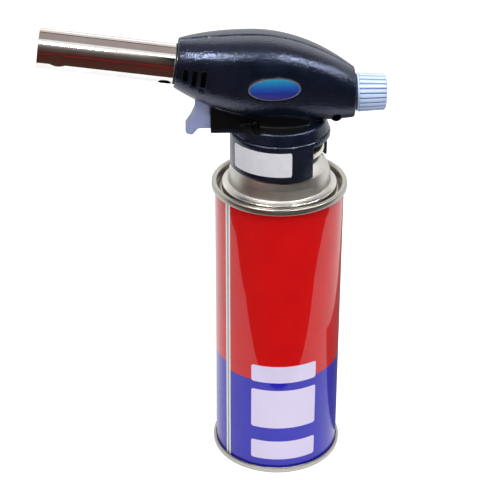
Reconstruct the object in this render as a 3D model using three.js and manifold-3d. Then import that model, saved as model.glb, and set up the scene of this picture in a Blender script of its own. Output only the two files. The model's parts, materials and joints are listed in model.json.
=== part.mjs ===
// Handheld gas torch: a burner head with trigger and gas knob, locked on a bayonet gas cartridge.
// Millimetres, +Z up. The flame tube points to -X, the gas knob to +X, the near side is -Y.
import * as THREE from 'three';
import { mergeVertices } from 'three/addons/utils/BufferGeometryUtils.js';
import Module from 'manifold-3d';

const wasm = await Module();
wasm.setup();

// Clearances and small edges
const seatGap = 0.3;            // between pieces that bear on each other
const slideGap = 0.4;           // round a piece that slides or turns
const edge = 0.6;               // small rounded or broken edge

// Cartridge: lacquered tube, its two ends and the bayonet rim
const canDiameter = 65.5;
const canHeight = 159.7;        // over both chimes
const canWall = 0.5;
const endSheet = 0.6;           // sheet of the ends and of the mounting cup
const chimeOverhang = 1.6;      // chime beyond the tube, on each side
const chimeDepth = 3.3;
const seamRoof = 1.0;           // metal over the tube's edge inside a chime
const countersinkDepth = 4.2;
const countersinkWidth = 1.7;
const ledgeWidth = 3.2;         // sloping ring between the countersink and the dome
const ledgeRise = 0.5;          // foot of the dome over the chime's crest
const domeDiameter = 52.0;      // at its foot
const domeTaper = 0.6;
const domeWallRise = 5.0;
const shoulderRise = 6.6;
const shoulderInset = 3.4;      // how far the shoulder draws in
const grooveHeight = 4.4;       // bayonet groove between shoulder and bead
const grooveDepth = 1.9;        // neck inside the bead
const beadDiameter = 44.2;
const beadHeight = 3.9;
const beadWidth = 3.5;
const notchAngle = 24;          // gap in the bead for a lug, degrees
const panDepth = 5.4;
const pedestalDiameter = 15.2;
const pedestalDrop = 0.4;       // pedestal below the bead's top
const bottomRise = 9.0;         // hollow of the bottom end

// Cartridge valve
const stemDiameter = 4.0;
const stemBore = 1.4;
const stemReach = 4.2;          // stem above the pedestal, pressed by the torch
const stemFootDiameter = 7.8;
const stemFootHeight = 2.0;
const stemTravel = 1.0;         // press left below the fitted position
const stemLift = 1.7;           // how far the fitted torch holds the foot off its gasket
const gasketThickness = 0.8;
const valveDepth = 14.0;
const valveBore = 9.2;
const nippleDiameter = 4.0;
const nippleLength = 8.0;
const springWire = 0.7;
const springDiameter = 6.0;     // at the middle of the wire
const springTurns = 5;
const dipTubeWall = 0.7;
const dipTubeDrop = 9.0;         // bend below the straight run
const dipTubeReach = 25.0;

// Collar
const beadClearance = 1.7;      // round the bead
const skirtWall = 1.3;
const skirtClearance = 0.8;     // skirt above the shoulder
const windowStart = -52.5;      // degrees from +X
const windowEnd = 14.5;
const windowTop = 2.9;          // over the bead's top
const plateTop = 8.2;
const plateThickness = 2.5;
const collarShoulder = 2.0;     // rounding of the collar's top edge
const lugAngle = 18;
const lugThickness = 1.6;
const lugPlaces = [26, 146, 266];   // degrees from +X, locked
const unlockTwist = 30;         // turn that brings the lugs to the notches
const hubDiameter = 29.0;
const hubWall = 2.5;
const hubLip = 1.5;
const hubHeight = 3.5;
const lipThickness = 1.2;
const labelHeight = 12.7;
const labelThickness = 0.3;
const labelRecess = 0.45;
const labelStart = -155.5;      // degrees from +X
const labelEnd = -78.8;
const labelBelowTop = 2.9;      // label's top under the collar's top

// Housing outline, x from the cartridge's axis
const discDiameter = 44.8;
const discHeight = 5.3;
const bellySink = 0.4;          // belly below the disc's top
const bodyFront = -51.1;
const bodyRear = 36.5;
const bodyHeight = 45.8;
const bodyWidth = 38.8;
const bodyWall = 2.0;
const frontWall = 3.5;
const apexX = -15.0;
const bellyX = 24.0;
const widestX = -12.0;
const frontDiameter = 24.6;
const rearDiameter = 24.4;
const rearEdge = 1.2;
const partingGap = 0.3;
const tubeAxisHeight = 29.2;    // tube's axis at the front face, over the belly
const tubePitch = 8.0;          // degrees, rising to the tip
const knobAxisHeight = 13.1;    // knob's axis over the belly
const neckLength = 42.0;
const neckWidth = 29.0;
const neckFootLength = 43.6;     // neck where it spreads on the disc
const neckFootWidth = 35.0;
const neckFlare = 4.0;           // height of the spread
const blockFront = -34.7;
const blockRear = -14.0;
const blockHalfWidth = 10.0;
const blockWall = 2.1;
const blockBelowDisc = 4.1;     // block's underside under the disc's top
const blockFloor = 0.8;
const blockCorner = 4.0;
const ribThickness = 2.0;

// Vents, badge and screws
const ventCount = 3;
const ventWidth = 2.3;
const ventPitch = 4.2;
const ventFirst = 4.9;          // behind the front face
const ventLength = 6.8;         // of the first slot
const ventGrowth = 2.2;
const badgeX = -4.0;
const badgeHeight = 23.2;       // badge's centre over the belly
const badgeLong = 25.4;
const badgeShort = 11.4;
const badgeThickness = 1.0;
const badgeProud = 0.4;
const screwDiameter = 2.8;
const screwLength = 14.0;
const screwHeadDiameter = 4.4;
const screwHeadHeight = 1.8;
const screwBossWall = 1.3;
const neckScrewX = -12.9;
const neckScrewHeight = 1.6;    // over the belly
const neckScrewSeat = 8.0;      // head's seat from the parting plane
const rearScrewX = 27.0;
const rearScrewHeight = 4.2;
const rearScrewSeat = 4.5;

// Burner, measured along the tube's axis from the housing's front face
const tubeDiameter = 19.8;
const tubeWall = 0.7;
const tubeReach = 66.6;
const tubeInside = 17.0;        // front of the tube's rear rim
const rimWidth = 1.5;
const rimThickness = 1.2;
const airSlotLength = 5.4;
const airSlotWidth = 3.0;
const airSlotPlace = 6.5;
const airSlotAngle = 24;        // degrees from straight down, towards the near side
const dimpleFromTip = 10.0;
const dimpleCount = 3;
const dimpleDiameter = 4.4;
const dimpleDepth = 0.3;
const dimpleAngle = 62;         // of the first dimple, degrees from up towards the near side
const holderThickness = 5.0;
const holderHoles = 8;
const holderHoleDiameter = 2.2;
const mixerDiameter = 10.0;
const mixerWall = 0.8;
const mixerFlange = 1.6;
const mixerAirHole = 3.0;
const mixerNeckBore = 5.2;
const mixerNeckLength = 4.0;
const jetHexWidth = 7.0;
const jetHexLength = 4.5;
const jetNoseLength = 4.6;
const jetBore = 0.8;
const pipeDiameter = 3.2;
const pipeWall = 0.6;
const pipeEntry = 3.0;          // pipe pushed into the jet and the valve
const insulatorDiameter = 2.4;
const insulatorBore = 1.6;
const insulatorReach = 3.0;     // insulator beyond the flame holder
const pinDiameter = 1.0;
const pinReach = 4.0;
const pinLean = 2.0;
const wireDiameter = 1.6;

// Gas valve and knob
const valveDiameter = 13.0;
const valveFront = -9.0;
const valveRear = 26.0;
const bossDiameter = 12.4;
const bossBottom = 2.4;         // boss's foot over the disc's foot
const spigotDiameter = 6.8;
const spigotLength = 8.0;
const gasBore = 2.4;
const adapterDiameter = 10.4;
const adapterFlange = 15.0;
const adapterFlangeHeight = 1.5;
const adapterFoot = 0.6;        // adapter's foot over the bead's top
const sealWire = 1.0;
const spindleDiameter = 7.2;
const spindleTail = 5.6;
const spindleGroove = 1.3;
const spindlePitch = 1.0;        // way out in one turn
const spindleTurns = 1.5;        // from shut to fully open
const oringWire = 1.0;
const oringPlace = 21.0;
const needleLength = 5.0;
const needleTip = 9.5;
const needleDiameter = 3.0;
const nutWidth = 11.0;
const nutLength = 4.6;
const knobStart = 37.2;
const knobLength = 14.5;
const knobDiameter = 19.5;
const knobEndDiameter = 18.0;
const knobCollar = 1.4;
const knobCollarDiameter = 18.6;
const knobFlutes = 24;
const fluteDepth = 0.9;
const knobChamfer = 1.0;
const knobSocket = 10.5;

// Trigger and spark unit
const triggerHalfWidth = 7.0;
const triggerTravel = 5.0;
const triggerTop = 13.2;        // over the belly
const triggerFront = -42.2;
const triggerBack = -34.5;
const triggerTailBack = -31.0;
const triggerTailTop = 4.6;
const triggerFoot = 0.4;        // underside above the block's floor
const lipForward = 4.8;         // lip ahead of the trigger's neck
const lipDrop = 3.4;            // lip below the trigger's underside
const lipThicknessX = 3.7;
const railReach = 1.3;
const railHeight = 2.4;
const railLength = 1.7;
const railCentre = 3.2;         // rail over the belly
const piezoRear = -9.8;
const piezoHeight = 9.0;
const piezoHalfWidth = 4.5;
const piezoBottom = 5.4;        // over the belly
const plungerDiameter = 4.4;
const plungerLength = 9.2;
const terminalDiameter = 2.6;
const terminalHeight = 1.5;
const terminalX = -20.0;
const cradlePlaces = [-22.5, -16.5];
const valveSaddles = [-7.7, 20.0];

// Facets
const canSides = 36;
const headSides = 28;
const smallSides = 16;
const ringSides = 6;             // round a rubber ring's section
const bodyRings = 14;
const bodySides = 26;
const hollowRings = 6;
const hollowSides = 14;
const wireSides = 8;

const radians = THREE.MathUtils.degToRad;

// Solids

// Makes a closed geometry a solid, with its faces turned outwards.
function solid(geometry) {
  const bare = geometry.index ? geometry.toNonIndexed() : geometry.clone();
  bare.deleteAttribute('normal');
  bare.deleteAttribute('uv');
  const merged = mergeVertices(bare, 1e-4);
  const points = merged.attributes.position;
  const corner = [new THREE.Vector3(), new THREE.Vector3(), new THREE.Vector3()];
  const triangles = [];
  let volume = 0;
  for (let i = 0; i < merged.index.count; i += 3) {
    const [a, b, c] = [0, 1, 2].map((k) => merged.index.getX(i + k));
    if (a === b || b === c || c === a) continue;
    corner.forEach((v, k) => v.fromBufferAttribute(points, [a, b, c][k]));
    volume += corner[0].dot(corner[1].clone().cross(corner[2]));
    triangles.push([a, b, c]);
  }
  const faces = volume < 0 ? triangles.map(([a, b, c]) => [a, c, b]) : triangles;
  return new wasm.Manifold(new wasm.Mesh({
    numProp: 3,
    vertProperties: new Float32Array(points.array),
    triVerts: new Uint32Array(faces.flat()),
  }));
}

const asSolid = (shape) => (shape.isBufferGeometry ? solid(shape) : shape);

function join(...shapes) {
  return shapes.map(asSolid).reduce((a, b) => a.add(b));
}

function cut(shape, ...tools) {
  return tools.map(asSolid).reduce((a, b) => a.subtract(b), asSolid(shape));
}

function common(a, b) {
  return asSolid(a).intersect(asSolid(b));
}

// Turns a profile of [radius, height] points about Z. A profile off the axis closes on itself.
function turned(profile, sides) {
  const points = profile.map(([r, z]) => new THREE.Vector2(r, z));
  const onAxis = profile[0][0] === 0 && profile[profile.length - 1][0] === 0;
  if (!onAxis) points.push(points[0].clone());
  return new THREE.LatheGeometry(points, sides).rotateX(Math.PI / 2);
}

// A box between two corners.
function box([x0, y0, z0], [x1, y1, z1]) {
  const geometry = new THREE.BoxGeometry(x1 - x0, y1 - y0, z1 - z0);
  return geometry.translate((x0 + x1) / 2, (y0 + y1) / 2, (z0 + z1) / 2);
}

// Rods along the three axes, between two ends.
function rodZ(diameter, z0, z1, sides = smallSides) {
  return turned([[0, z0], [diameter / 2, z0], [diameter / 2, z1], [0, z1]], sides);
}

function rodX(diameter, x0, x1, sides = smallSides) {
  return rodZ(diameter, x0, x1, sides).rotateY(Math.PI / 2);
}

function rodY(diameter, y0, y1, sides = smallSides) {
  return rodZ(diameter, -y1, -y0, sides).rotateX(Math.PI / 2);
}

// A flat outline in XY, raised along Z.
function raised(shape, z0, z1, curveSegments = 12) {
  const options = { depth: z1 - z0, bevelEnabled: false, curveSegments };
  return new THREE.ExtrudeGeometry(shape, options).translate(0, 0, z0);
}

// A sector of a ring, in degrees from +X.
function sector(inner, outer, start, end, z0, z1, steps = 12) {
  const shape = new THREE.Shape();
  shape.absarc(0, 0, outer, radians(start), radians(end), false);
  shape.absarc(0, 0, inner, radians(end), radians(start), true);
  shape.closePath();
  return raised(shape, z0, z1, steps);
}

// A round rod or pipe along a curve.
function along(curve, diameter, bore, steps, sides = wireSides) {
  const ring = (d) => Array.from({ length: sides }, (_, i) => {
    const turn = 2 * Math.PI * i / sides;
    return new THREE.Vector2(d / 2 * Math.cos(turn), d / 2 * Math.sin(turn));
  });
  const shape = new THREE.Shape(ring(diameter));
  if (bore > 0) shape.holes.push(new THREE.Path(ring(bore)));
  return new THREE.ExtrudeGeometry(shape, { steps, extrudePath: curve, bevelEnabled: false });
}

function hexagon(acrossFlats) {
  const corner = acrossFlats / Math.sqrt(3);
  const points = Array.from({ length: 6 }, (_, i) => {
    const turn = Math.PI / 3 * i;
    return new THREE.Vector2(corner * Math.cos(turn), corner * Math.sin(turn));
  });
  return new THREE.Shape(points);
}

function finish(color, roughness, metalness) {
  return new THREE.MeshStandardMaterial({ color, roughness, metalness });
}

// Adds a named mesh of a shape to a group.
function piece(group, name, shape, material) {
  const mesh = asSolid(shape).getMesh();
  const geometry = new THREE.BufferGeometry();
  geometry.setAttribute('position', new THREE.BufferAttribute(mesh.vertProperties, 3));
  geometry.setIndex(new THREE.BufferAttribute(mesh.triVerts, 1));
  geometry.computeVertexNormals();
  const node = new THREE.Mesh(geometry, material);
  node.name = name;
  group.add(node);
}

// Heights and radii that several pieces share

const canRadius = canDiameter / 2;
const chimeRadius = canRadius + chimeOverhang;
const chuckRadius = canRadius - canWall - seatGap;
const domeFoot = canHeight + ledgeRise;
const domeWallTop = domeFoot + domeWallRise;
const shoulderTop = domeWallTop + shoulderRise;
const neckTop = shoulderTop + grooveHeight;
const beadBottom = neckTop + seatGap;
const beadTop = beadBottom + beadHeight;
const beadRadius = beadDiameter / 2;
const neckRadius = beadRadius - grooveDepth;
const domeRadius = domeDiameter / 2;
const pedestalTop = beadTop - pedestalDrop;

const shoulder = new THREE.QuadraticBezierCurve(
  new THREE.Vector2(domeRadius - domeTaper, domeWallTop),
  new THREE.Vector2(domeRadius - domeTaper - 0.12 * shoulderInset, domeWallTop + 0.45 * shoulderRise),
  new THREE.Vector2(domeRadius - domeTaper - shoulderInset, shoulderTop),
);

// Height of the shoulder at a radius.
function shoulderAt(radius) {
  const points = shoulder.getPoints(60);
  const past = points.find((p) => p.x <= radius);
  return past ? past.y : shoulderTop;
}

// Head heights, from the top of the bead
const skirtInner = beadRadius + beadClearance;
const collarRadius = skirtInner + skirtWall;
const skirtBottom = shoulderAt(skirtInner) + skirtClearance - beadTop;
const discBottom = plateTop + seatGap;
const discTop = discBottom + discHeight;
const belly = discTop - bellySink;
const knobAxis = belly + knobAxisHeight;
const tubeAxis = belly + tubeAxisHeight;
const apex = belly + bodyHeight;
const blockBottom = discTop - blockBelowDisc;

const tubeRadius = tubeDiameter / 2;
const tubeBore = tubeRadius - tubeWall;

// Place of the burner: its own Z runs along the tube to the tip, its own X points up.
const burnerTurn = -(Math.PI / 2 - radians(tubePitch));
const burnerPlace = new THREE.Matrix4().makeRotationY(burnerTurn).setPosition(bodyFront, 0, tubeAxis);
const inBurner = (geometry) => geometry.applyMatrix4(burnerPlace);
const burnerPoint = (up, side, out) => new THREE.Vector3(up, side, out).applyMatrix4(burnerPlace);

// Cartridge

// A thin sheet's under side, offset from its upper side.
function underside(points, thickness) {
  return points.map(([r, z], i) => {
    const before = points[Math.max(i - 1, 0)];
    const after = points[Math.min(i + 1, points.length - 1)];
    const length = Math.hypot(after[0] - before[0], after[1] - before[1]);
    const across = [-(after[1] - before[1]) / length, (after[0] - before[0]) / length];
    return [r + across[0] * thickness, z + across[1] * thickness];
  });
}

// The rolled seam at the tube's edge, from its outer hook to the top of the countersink wall.
const chimeHook = [
  [canRadius + seatGap, -chimeDepth],
  [chimeRadius, -chimeDepth],
  [chimeRadius, -edge],
  [chimeRadius - edge, 0],
  [chuckRadius, 0],
  [chuckRadius - endSheet, -edge],
];
const chimeRoof = [
  [chuckRadius, -seamRoof],
  [canRadius + seatGap, -seamRoof],
];

function canBody() {
  const inner = canRadius - canWall;
  const low = seamRoof + seatGap;
  const high = canHeight - low;
  return turned([[inner, low], [canRadius, low], [canRadius, high], [inner, high]], canSides);
}

function canDome() {
  const wallFoot = chuckRadius - endSheet - edge;
  const ledgeOuter = domeRadius + ledgeWidth;
  const upper = [
    [wallFoot, -countersinkDepth],
    [wallFoot - countersinkWidth, -countersinkDepth],
    [ledgeOuter, ledgeRise - 2 * edge],
    [domeRadius, ledgeRise],
    ...shoulder.getPoints(4).map((p) => [p.x, p.y - canHeight]),
    [neckRadius, shoulderTop + grooveDepth - canHeight],
    [neckRadius, neckTop - canHeight],
  ];
  const lower = underside(upper, endSheet).reverse();
  const profile = [...chimeHook, ...upper, ...lower, ...chimeRoof];
  return turned(profile.map(([r, z]) => [r, z + canHeight]), canSides);
}

function canBottom() {
  const wallFoot = chuckRadius - endSheet - edge;
  const bowl = new THREE.QuadraticBezierCurve(
    new THREE.Vector2(wallFoot, -countersinkDepth),
    new THREE.Vector2(wallFoot / 2, -countersinkDepth - bottomRise),
    new THREE.Vector2(0, -countersinkDepth - bottomRise),
  );
  const upper = bowl.getPoints(4).map((p) => [p.x, p.y]);
  const lower = underside(upper, endSheet).reverse();
  lower[0][0] = 0;
  const outer = [...lower.slice(1), ...chimeRoof, ...chimeHook];
  const profile = [lower[0], ...outer, ...upper];
  return turned(profile.map(([r, z]) => [r, -z]), canSides);
}

function mountingCup() {
  const panRadius = beadRadius - beadWidth;
  const pedestal = pedestalDiameter / 2;
  const hole = stemDiameter / 2 + slideGap;
  const floor = beadTop - panDepth;
  const cup = turned([
    [hole, pedestalTop],
    [pedestal - edge, pedestalTop],
    [pedestal, pedestalTop - edge],
    [pedestal, floor],
    [panRadius - edge, floor],
    [panRadius, floor + edge],
    [panRadius, beadTop - edge],
    [panRadius + edge, beadTop],
    [beadRadius - edge, beadTop],
    [beadRadius, beadTop - edge],
    [beadRadius, beadBottom + edge],
    [beadRadius - edge, beadBottom],
    [panRadius + endSheet, beadBottom],
    [panRadius + endSheet, floor - endSheet],
    [pedestal - endSheet, floor - endSheet],
    [pedestal - endSheet, pedestalTop - endSheet],
    [hole, pedestalTop - endSheet],
  ], headSides);
  const inner = neckRadius + seatGap;
  const notches = lugPlaces.map((place) => {
    const middle = place + unlockTwist;
    const ends = [middle - notchAngle / 2, middle + notchAngle / 2];
    return sector(inner, chimeRadius, ...ends, neckTop, beadTop + edge, 4);
  });
  return cut(cup, ...notches);
}

const gasketTop = pedestalTop - endSheet - seatGap;
const valveTop = gasketTop - gasketThickness - seatGap;
const valveBottom = valveTop - valveDepth;
const valveFloor = valveBottom + nippleDiameter / 2;
const stemFootTop = gasketTop - gasketThickness - stemLift;
const stemFootBottom = stemFootTop - stemFootHeight;
const valveOuter = pedestalDiameter / 2 - endSheet - seatGap;

function valveHousing() {
  const bore = stemBore / 2;
  const nipple = nippleDiameter / 2;
  return turned([
    [bore, valveBottom - nippleLength],
    [nipple, valveBottom - nippleLength],
    [nipple, valveBottom],
    [valveOuter, valveBottom],
    [valveOuter, valveTop],
    [valveBore / 2, valveTop],
    [valveBore / 2, valveFloor],
    [bore, valveFloor],
  ], smallSides);
}

function stemGasket() {
  const inner = stemDiameter / 2 + seatGap;
  const low = gasketTop - gasketThickness;
  return turned([
    [inner, low], [valveOuter, low], [valveOuter, gasketTop], [inner, gasketTop],
  ], smallSides);
}

function valveStem() {
  const stem = stemDiameter / 2;
  const guide = (springDiameter - springWire) / 2 - seatGap;
  const top = pedestalTop + stemReach;
  return turned([
    [0, stemFootBottom - 2 * stemTravel],
    [guide, stemFootBottom - 2 * stemTravel],
    [guide, stemFootBottom],
    [stemFootDiameter / 2, stemFootBottom],
    [stemFootDiameter / 2, stemFootTop],
    [stem, stemFootTop],
    [stem, top],
    [stemBore / 2, top],
    [stemBore / 2, gasketTop],
    [0, gasketTop],
  ], smallSides);
}

class Coil extends THREE.Curve {
  constructor(radius, low, high, turns) {
    super();
    Object.assign(this, { radius, low, high, turns });
  }

  getPoint(t) {
    const turn = 2 * Math.PI * this.turns * t;
    const z = this.low + (this.high - this.low) * t;
    return new THREE.Vector3(this.radius * Math.cos(turn), this.radius * Math.sin(turn), z);
  }
}

function valveSpring() {
  const ends = springWire / 2 + seatGap;
  const coil = new Coil(springDiameter / 2, valveFloor + ends, stemFootBottom - ends, springTurns);
  return along(coil, springWire, 0, 8 * springTurns, 5);
}

function dipTube() {
  const bore = nippleDiameter + 2 * seatGap;
  const top = valveBottom - seatGap;
  const straight = nippleLength + 2 * nippleDiameter;
  const low = top - straight - dipTubeDrop;
  const route = new THREE.CatmullRomCurve3([
    new THREE.Vector3(0, 0, top),
    new THREE.Vector3(0, 0, top - nippleLength),
    new THREE.Vector3(0, 0, top - straight),
    new THREE.Vector3(dipTubeDrop / 3, 0, low + dipTubeDrop / 3),
    new THREE.Vector3(dipTubeDrop, 0, low),
    new THREE.Vector3(dipTubeReach, 0, low),
  ], false, 'centripetal');
  return along(route, bore + 2 * dipTubeWall, bore, 10);
}

// Collar and label

function collar() {
  const adapterHole = adapterDiameter / 2 + slideGap;
  const hub = hubDiameter / 2;
  const plateBottom = plateTop - plateThickness;
  const hubTop = plateTop + hubHeight;
  const shell = turned([
    [adapterHole, plateBottom],
    [skirtInner, plateBottom],
    [skirtInner, skirtBottom],
    [collarRadius, skirtBottom],
    [collarRadius, plateTop - collarShoulder],
    [collarRadius - 0.3 * collarShoulder, plateTop - 0.3 * collarShoulder],
    [collarRadius - collarShoulder, plateTop],
    [hub, plateTop],
    [hub, hubTop - lipThickness],
    [hub + hubLip, hubTop - lipThickness],
    [hub + hubLip, hubTop],
    [hub - hubWall, hubTop],
    [hub - hubWall, plateTop],
    [adapterHole, plateTop],
  ], canSides);
  const below = skirtBottom - edge;
  const window = sector(hub, 2 * collarRadius, windowStart, windowEnd, below, windowTop);
  const labelTop = plateTop - labelBelowTop;
  const recess = sector(
    collarRadius - labelRecess, 2 * collarRadius, labelStart, labelEnd,
    labelTop - labelHeight - seatGap, labelTop + seatGap, 14,
  );
  const lugTop = beadBottom - seatGap - beadTop;
  const lugs = lugPlaces.map((place) => sector(
    neckRadius + slideGap, skirtInner + skirtWall / 2, place - lugAngle / 2, place + lugAngle / 2,
    lugTop - lugThickness, lugTop, 4,
  ));
  return cut(join(shell, ...lugs), window, recess);
}

function collarLabel() {
  const inner = collarRadius - labelRecess + seatGap;
  const margin = THREE.MathUtils.radToDeg(seatGap / inner);
  const top = plateTop - labelBelowTop;
  const ends = [labelStart + margin, labelEnd - margin];
  return sector(inner, inner + labelThickness, ...ends, top - labelHeight, top, 14);
}

// Housing

const frontTop = tubeAxis + frontDiameter / 2;
const frontBottom = tubeAxis - frontDiameter / 2;
const rearTop = knobAxis + rearDiameter / 2;
const rearBottom = knobAxis - rearDiameter / 2;

// Share of the way from one x to another.
const way = (x, from, to) => (x - from) / (to - from);

function topAt(x) {
  const drop = x < apexX ? apex - frontTop : apex - rearTop;
  const share = x < apexX ? way(x, apexX, bodyFront) : way(x, apexX, bodyRear);
  return apex - drop * share ** 2;
}

function bottomAt(x) {
  if (x < bellyX) return belly + (frontBottom - belly) * way(x, bellyX, bodyFront) ** 3;
  return belly + (rearBottom - belly) * way(x, bellyX, bodyRear) ** 2;
}

function halfWidthAt(x) {
  const end = x < widestX ? frontDiameter / 2 : rearDiameter / 2;
  const share = x < widestX ? way(x, widestX, bodyFront) : way(x, widestX, bodyRear);
  return bodyWidth / 2 - (bodyWidth / 2 - end) * share ** 2;
}

// The body's rounded form between two places, drawn in all round by an inset.
function bodyForm(inset, front, rear, rings, sides, roundRear = 0) {
  const places = Array.from({ length: rings + 1 }, (_, i) => rear + (front - rear) * i / rings);
  const bar = places.map((x) => new THREE.Vector2(1, x));
  if (roundRear > 0) {
    bar[0].y = rear - roundRear;
    bar.unshift(new THREE.Vector2(1 - roundRear / rearDiameter, rear - roundRear / 4));
    bar.unshift(new THREE.Vector2(1 - 2 * roundRear / rearDiameter, rear));
  }
  bar.unshift(new THREE.Vector2(0, bar[0].y));
  bar.push(new THREE.Vector2(0, front));
  const form = new THREE.LatheGeometry(bar, sides);
  const points = form.attributes.position;
  for (let i = 0; i < points.count; i++) {
    const x = points.getY(i);
    const middle = (topAt(x) + bottomAt(x)) / 2;
    const y = points.getX(i) * (halfWidthAt(x) - inset);
    const z = middle + points.getZ(i) * ((topAt(x) - bottomAt(x)) / 2 - inset);
    points.setXYZ(i, x, y, z);
  }
  return solid(form);
}

const bodyBeyond = bodyFront - frontWall;
const outerForm = (inset) => bodyForm(inset, bodyBeyond, bodyRear, bodyRings, bodySides, rearEdge);

// An upright oval prism about the cartridge's axis.
function oval(length, width, z0, z1) {
  return rodZ(1, z0, z1, headSides).scale(length, width, 1);
}

// The neck's foot, spreading from the neck's oval down to the disc.
function neckFoot() {
  const low = discTop - edge;
  const high = discTop + neckFlare;
  const foot = rodZ(1, low, high, headSides);
  const points = foot.attributes.position;
  for (let i = 0; i < points.count; i++) {
    const onDisc = points.getZ(i) < discTop;
    const long = onDisc ? neckFootLength : neckLength - edge;
    const wide = onDisc ? neckFootWidth : neckWidth - edge;
    points.setXY(i, points.getX(i) * long, points.getY(i) * wide);
  }
  return foot;
}

// The trigger block's plan, with its rear corners rounded.
function blockPlan(inset) {
  const front = blockFront + inset;
  const half = blockHalfWidth - inset;
  const corner = blockCorner - inset;
  const rear = blockRear - inset;
  const plan = new THREE.Shape();
  plan.moveTo(front, -half);
  plan.lineTo(rear - corner, -half);
  plan.absarc(rear - corner, -half + corner, corner, -Math.PI / 2, 0, false);
  plan.absarc(rear - corner, half - corner, corner, 0, Math.PI / 2, false);
  plan.lineTo(front, half);
  plan.closePath();
  return plan;
}

const blockTop = belly + blockHalfWidth;
const slotHalf = triggerHalfWidth + slideGap;
const slotFloor = blockBottom + blockFloor;
const railZ = belly + railCentre;
const triggerSweep = triggerTailBack + triggerTravel + slideGap;
const screwPlaces = [
  { name: 'housing_screw_neck', x: neckScrewX, z: belly + neckScrewHeight, seat: neckScrewSeat },
  { name: 'housing_screw_rear', x: rearScrewX, z: belly + rearScrewHeight, seat: rearScrewSeat },
];
const screwReach = (seat) => screwLength - seat;

function housingOuter() {
  const disc = discDiameter / 2;
  const foot = turned([
    [0, discBottom], [disc, discBottom], [disc, discTop - edge], [disc - edge, discTop], [0, discTop],
  ], headSides);
  const neck = oval(neckLength, neckWidth, discBottom + edge, blockTop);
  const block = raised(blockPlan(0), blockBottom, blockTop, 4);
  return join(outerForm(0), foot, neck, neckFoot(), block);
}

const discFloor = plateTop + hubHeight - lipThickness - slideGap;

function housingInner() {
  const cavity = bodyForm(bodyWall, bodyFront + frontWall, bodyRear - bodyWall, hollowRings, hollowSides);
  const neck = oval(neckLength - 2 * bodyWall, neckWidth - 2 * bodyWall, discFloor, blockTop);
  const block = raised(blockPlan(blockWall), blockBottom + blockWall, blockTop, 4);
  return [cavity, neck, block];
}

// Ribs that hold the tube, the valve, the spark unit and the screws.
function housingRibs(outer) {
  const span = 2 * bodyWidth;
  const half = bodyWall / 2;
  const inside = bodyForm(half, bodyFront + frontWall / 2, bodyRear - half, hollowRings, hollowSides);
  const blockInside = raised(blockPlan(blockWall / 2), blockBottom + blockWall / 2, blockTop, 4);
  const rimRear = -tubeInside - rimThickness;
  const tubeRibs = [-tubeInside + seatGap, rimRear - seatGap - ribThickness].map((out) => (
    inBurner(box([-span, -span, out], [span, span, out + ribThickness]))
  ));
  const thin = ribThickness / 2;
  const plate = (x, top) => box([x - thin, -span, blockBottom], [x + thin, span, top]);
  const cradles = cradlePlaces.map((x) => plate(x, belly + piezoBottom + piezoHeight / 2));
  const saddles = valveSaddles.map((x) => plate(x, knobAxis + ribThickness));
  const bosses = screwPlaces.map(({ x, z }) => (
    rodY(screwDiameter + 2 * (seatGap + screwBossWall), -bodyWidth / 2, bodyWidth / 2).translate(x, 0, z)
  ));
  const hollow = join(inside, blockInside);
  const ribs = [...tubeRibs, ...saddles].map((rib) => common(rib, inside));
  const spans = cradles.map((cradle) => common(cradle, hollow));
  return join(...ribs, ...spans, ...bosses.map((boss) => common(boss, outer)));
}

function ventSlots() {
  const cuts = [];
  for (let i = 0; i < ventCount; i++) {
    const out = -ventFirst - ventPitch * i;
    const half = (ventLength + ventGrowth * i) / 2;
    const low = ventWidth / 2 - half - ventGrowth / 4 * i;
    const high = half - ventWidth / 2 - ventGrowth / 4 * i;
    for (const side of [-1, 1]) {
      const ends = [side * (tubeRadius + seatGap), side * bodyWidth].sort((a, b) => a - b);
      const slot = new THREE.Shape();
      slot.absarc(low, 0, ventWidth / 2, Math.PI / 2, 3 * Math.PI / 2, false);
      slot.absarc(high, 0, ventWidth / 2, -Math.PI / 2, Math.PI / 2, false);
      slot.closePath();
      const bar = raised(slot, -ends[1], -ends[0], 5).rotateX(Math.PI / 2);
      cuts.push(inBurner(bar.translate(0, 0, out)));
    }
  }
  return cuts;
}

// The badge's oval prism on the near side, grown by a margin.
function badgePrism(margin) {
  const prism = rodY(1, -bodyWidth, -bodyWidth / 4, headSides);
  prism.scale(badgeLong + 2 * margin, 1, badgeShort + 2 * margin);
  return prism.translate(badgeX, 0, belly + badgeHeight);
}

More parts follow.
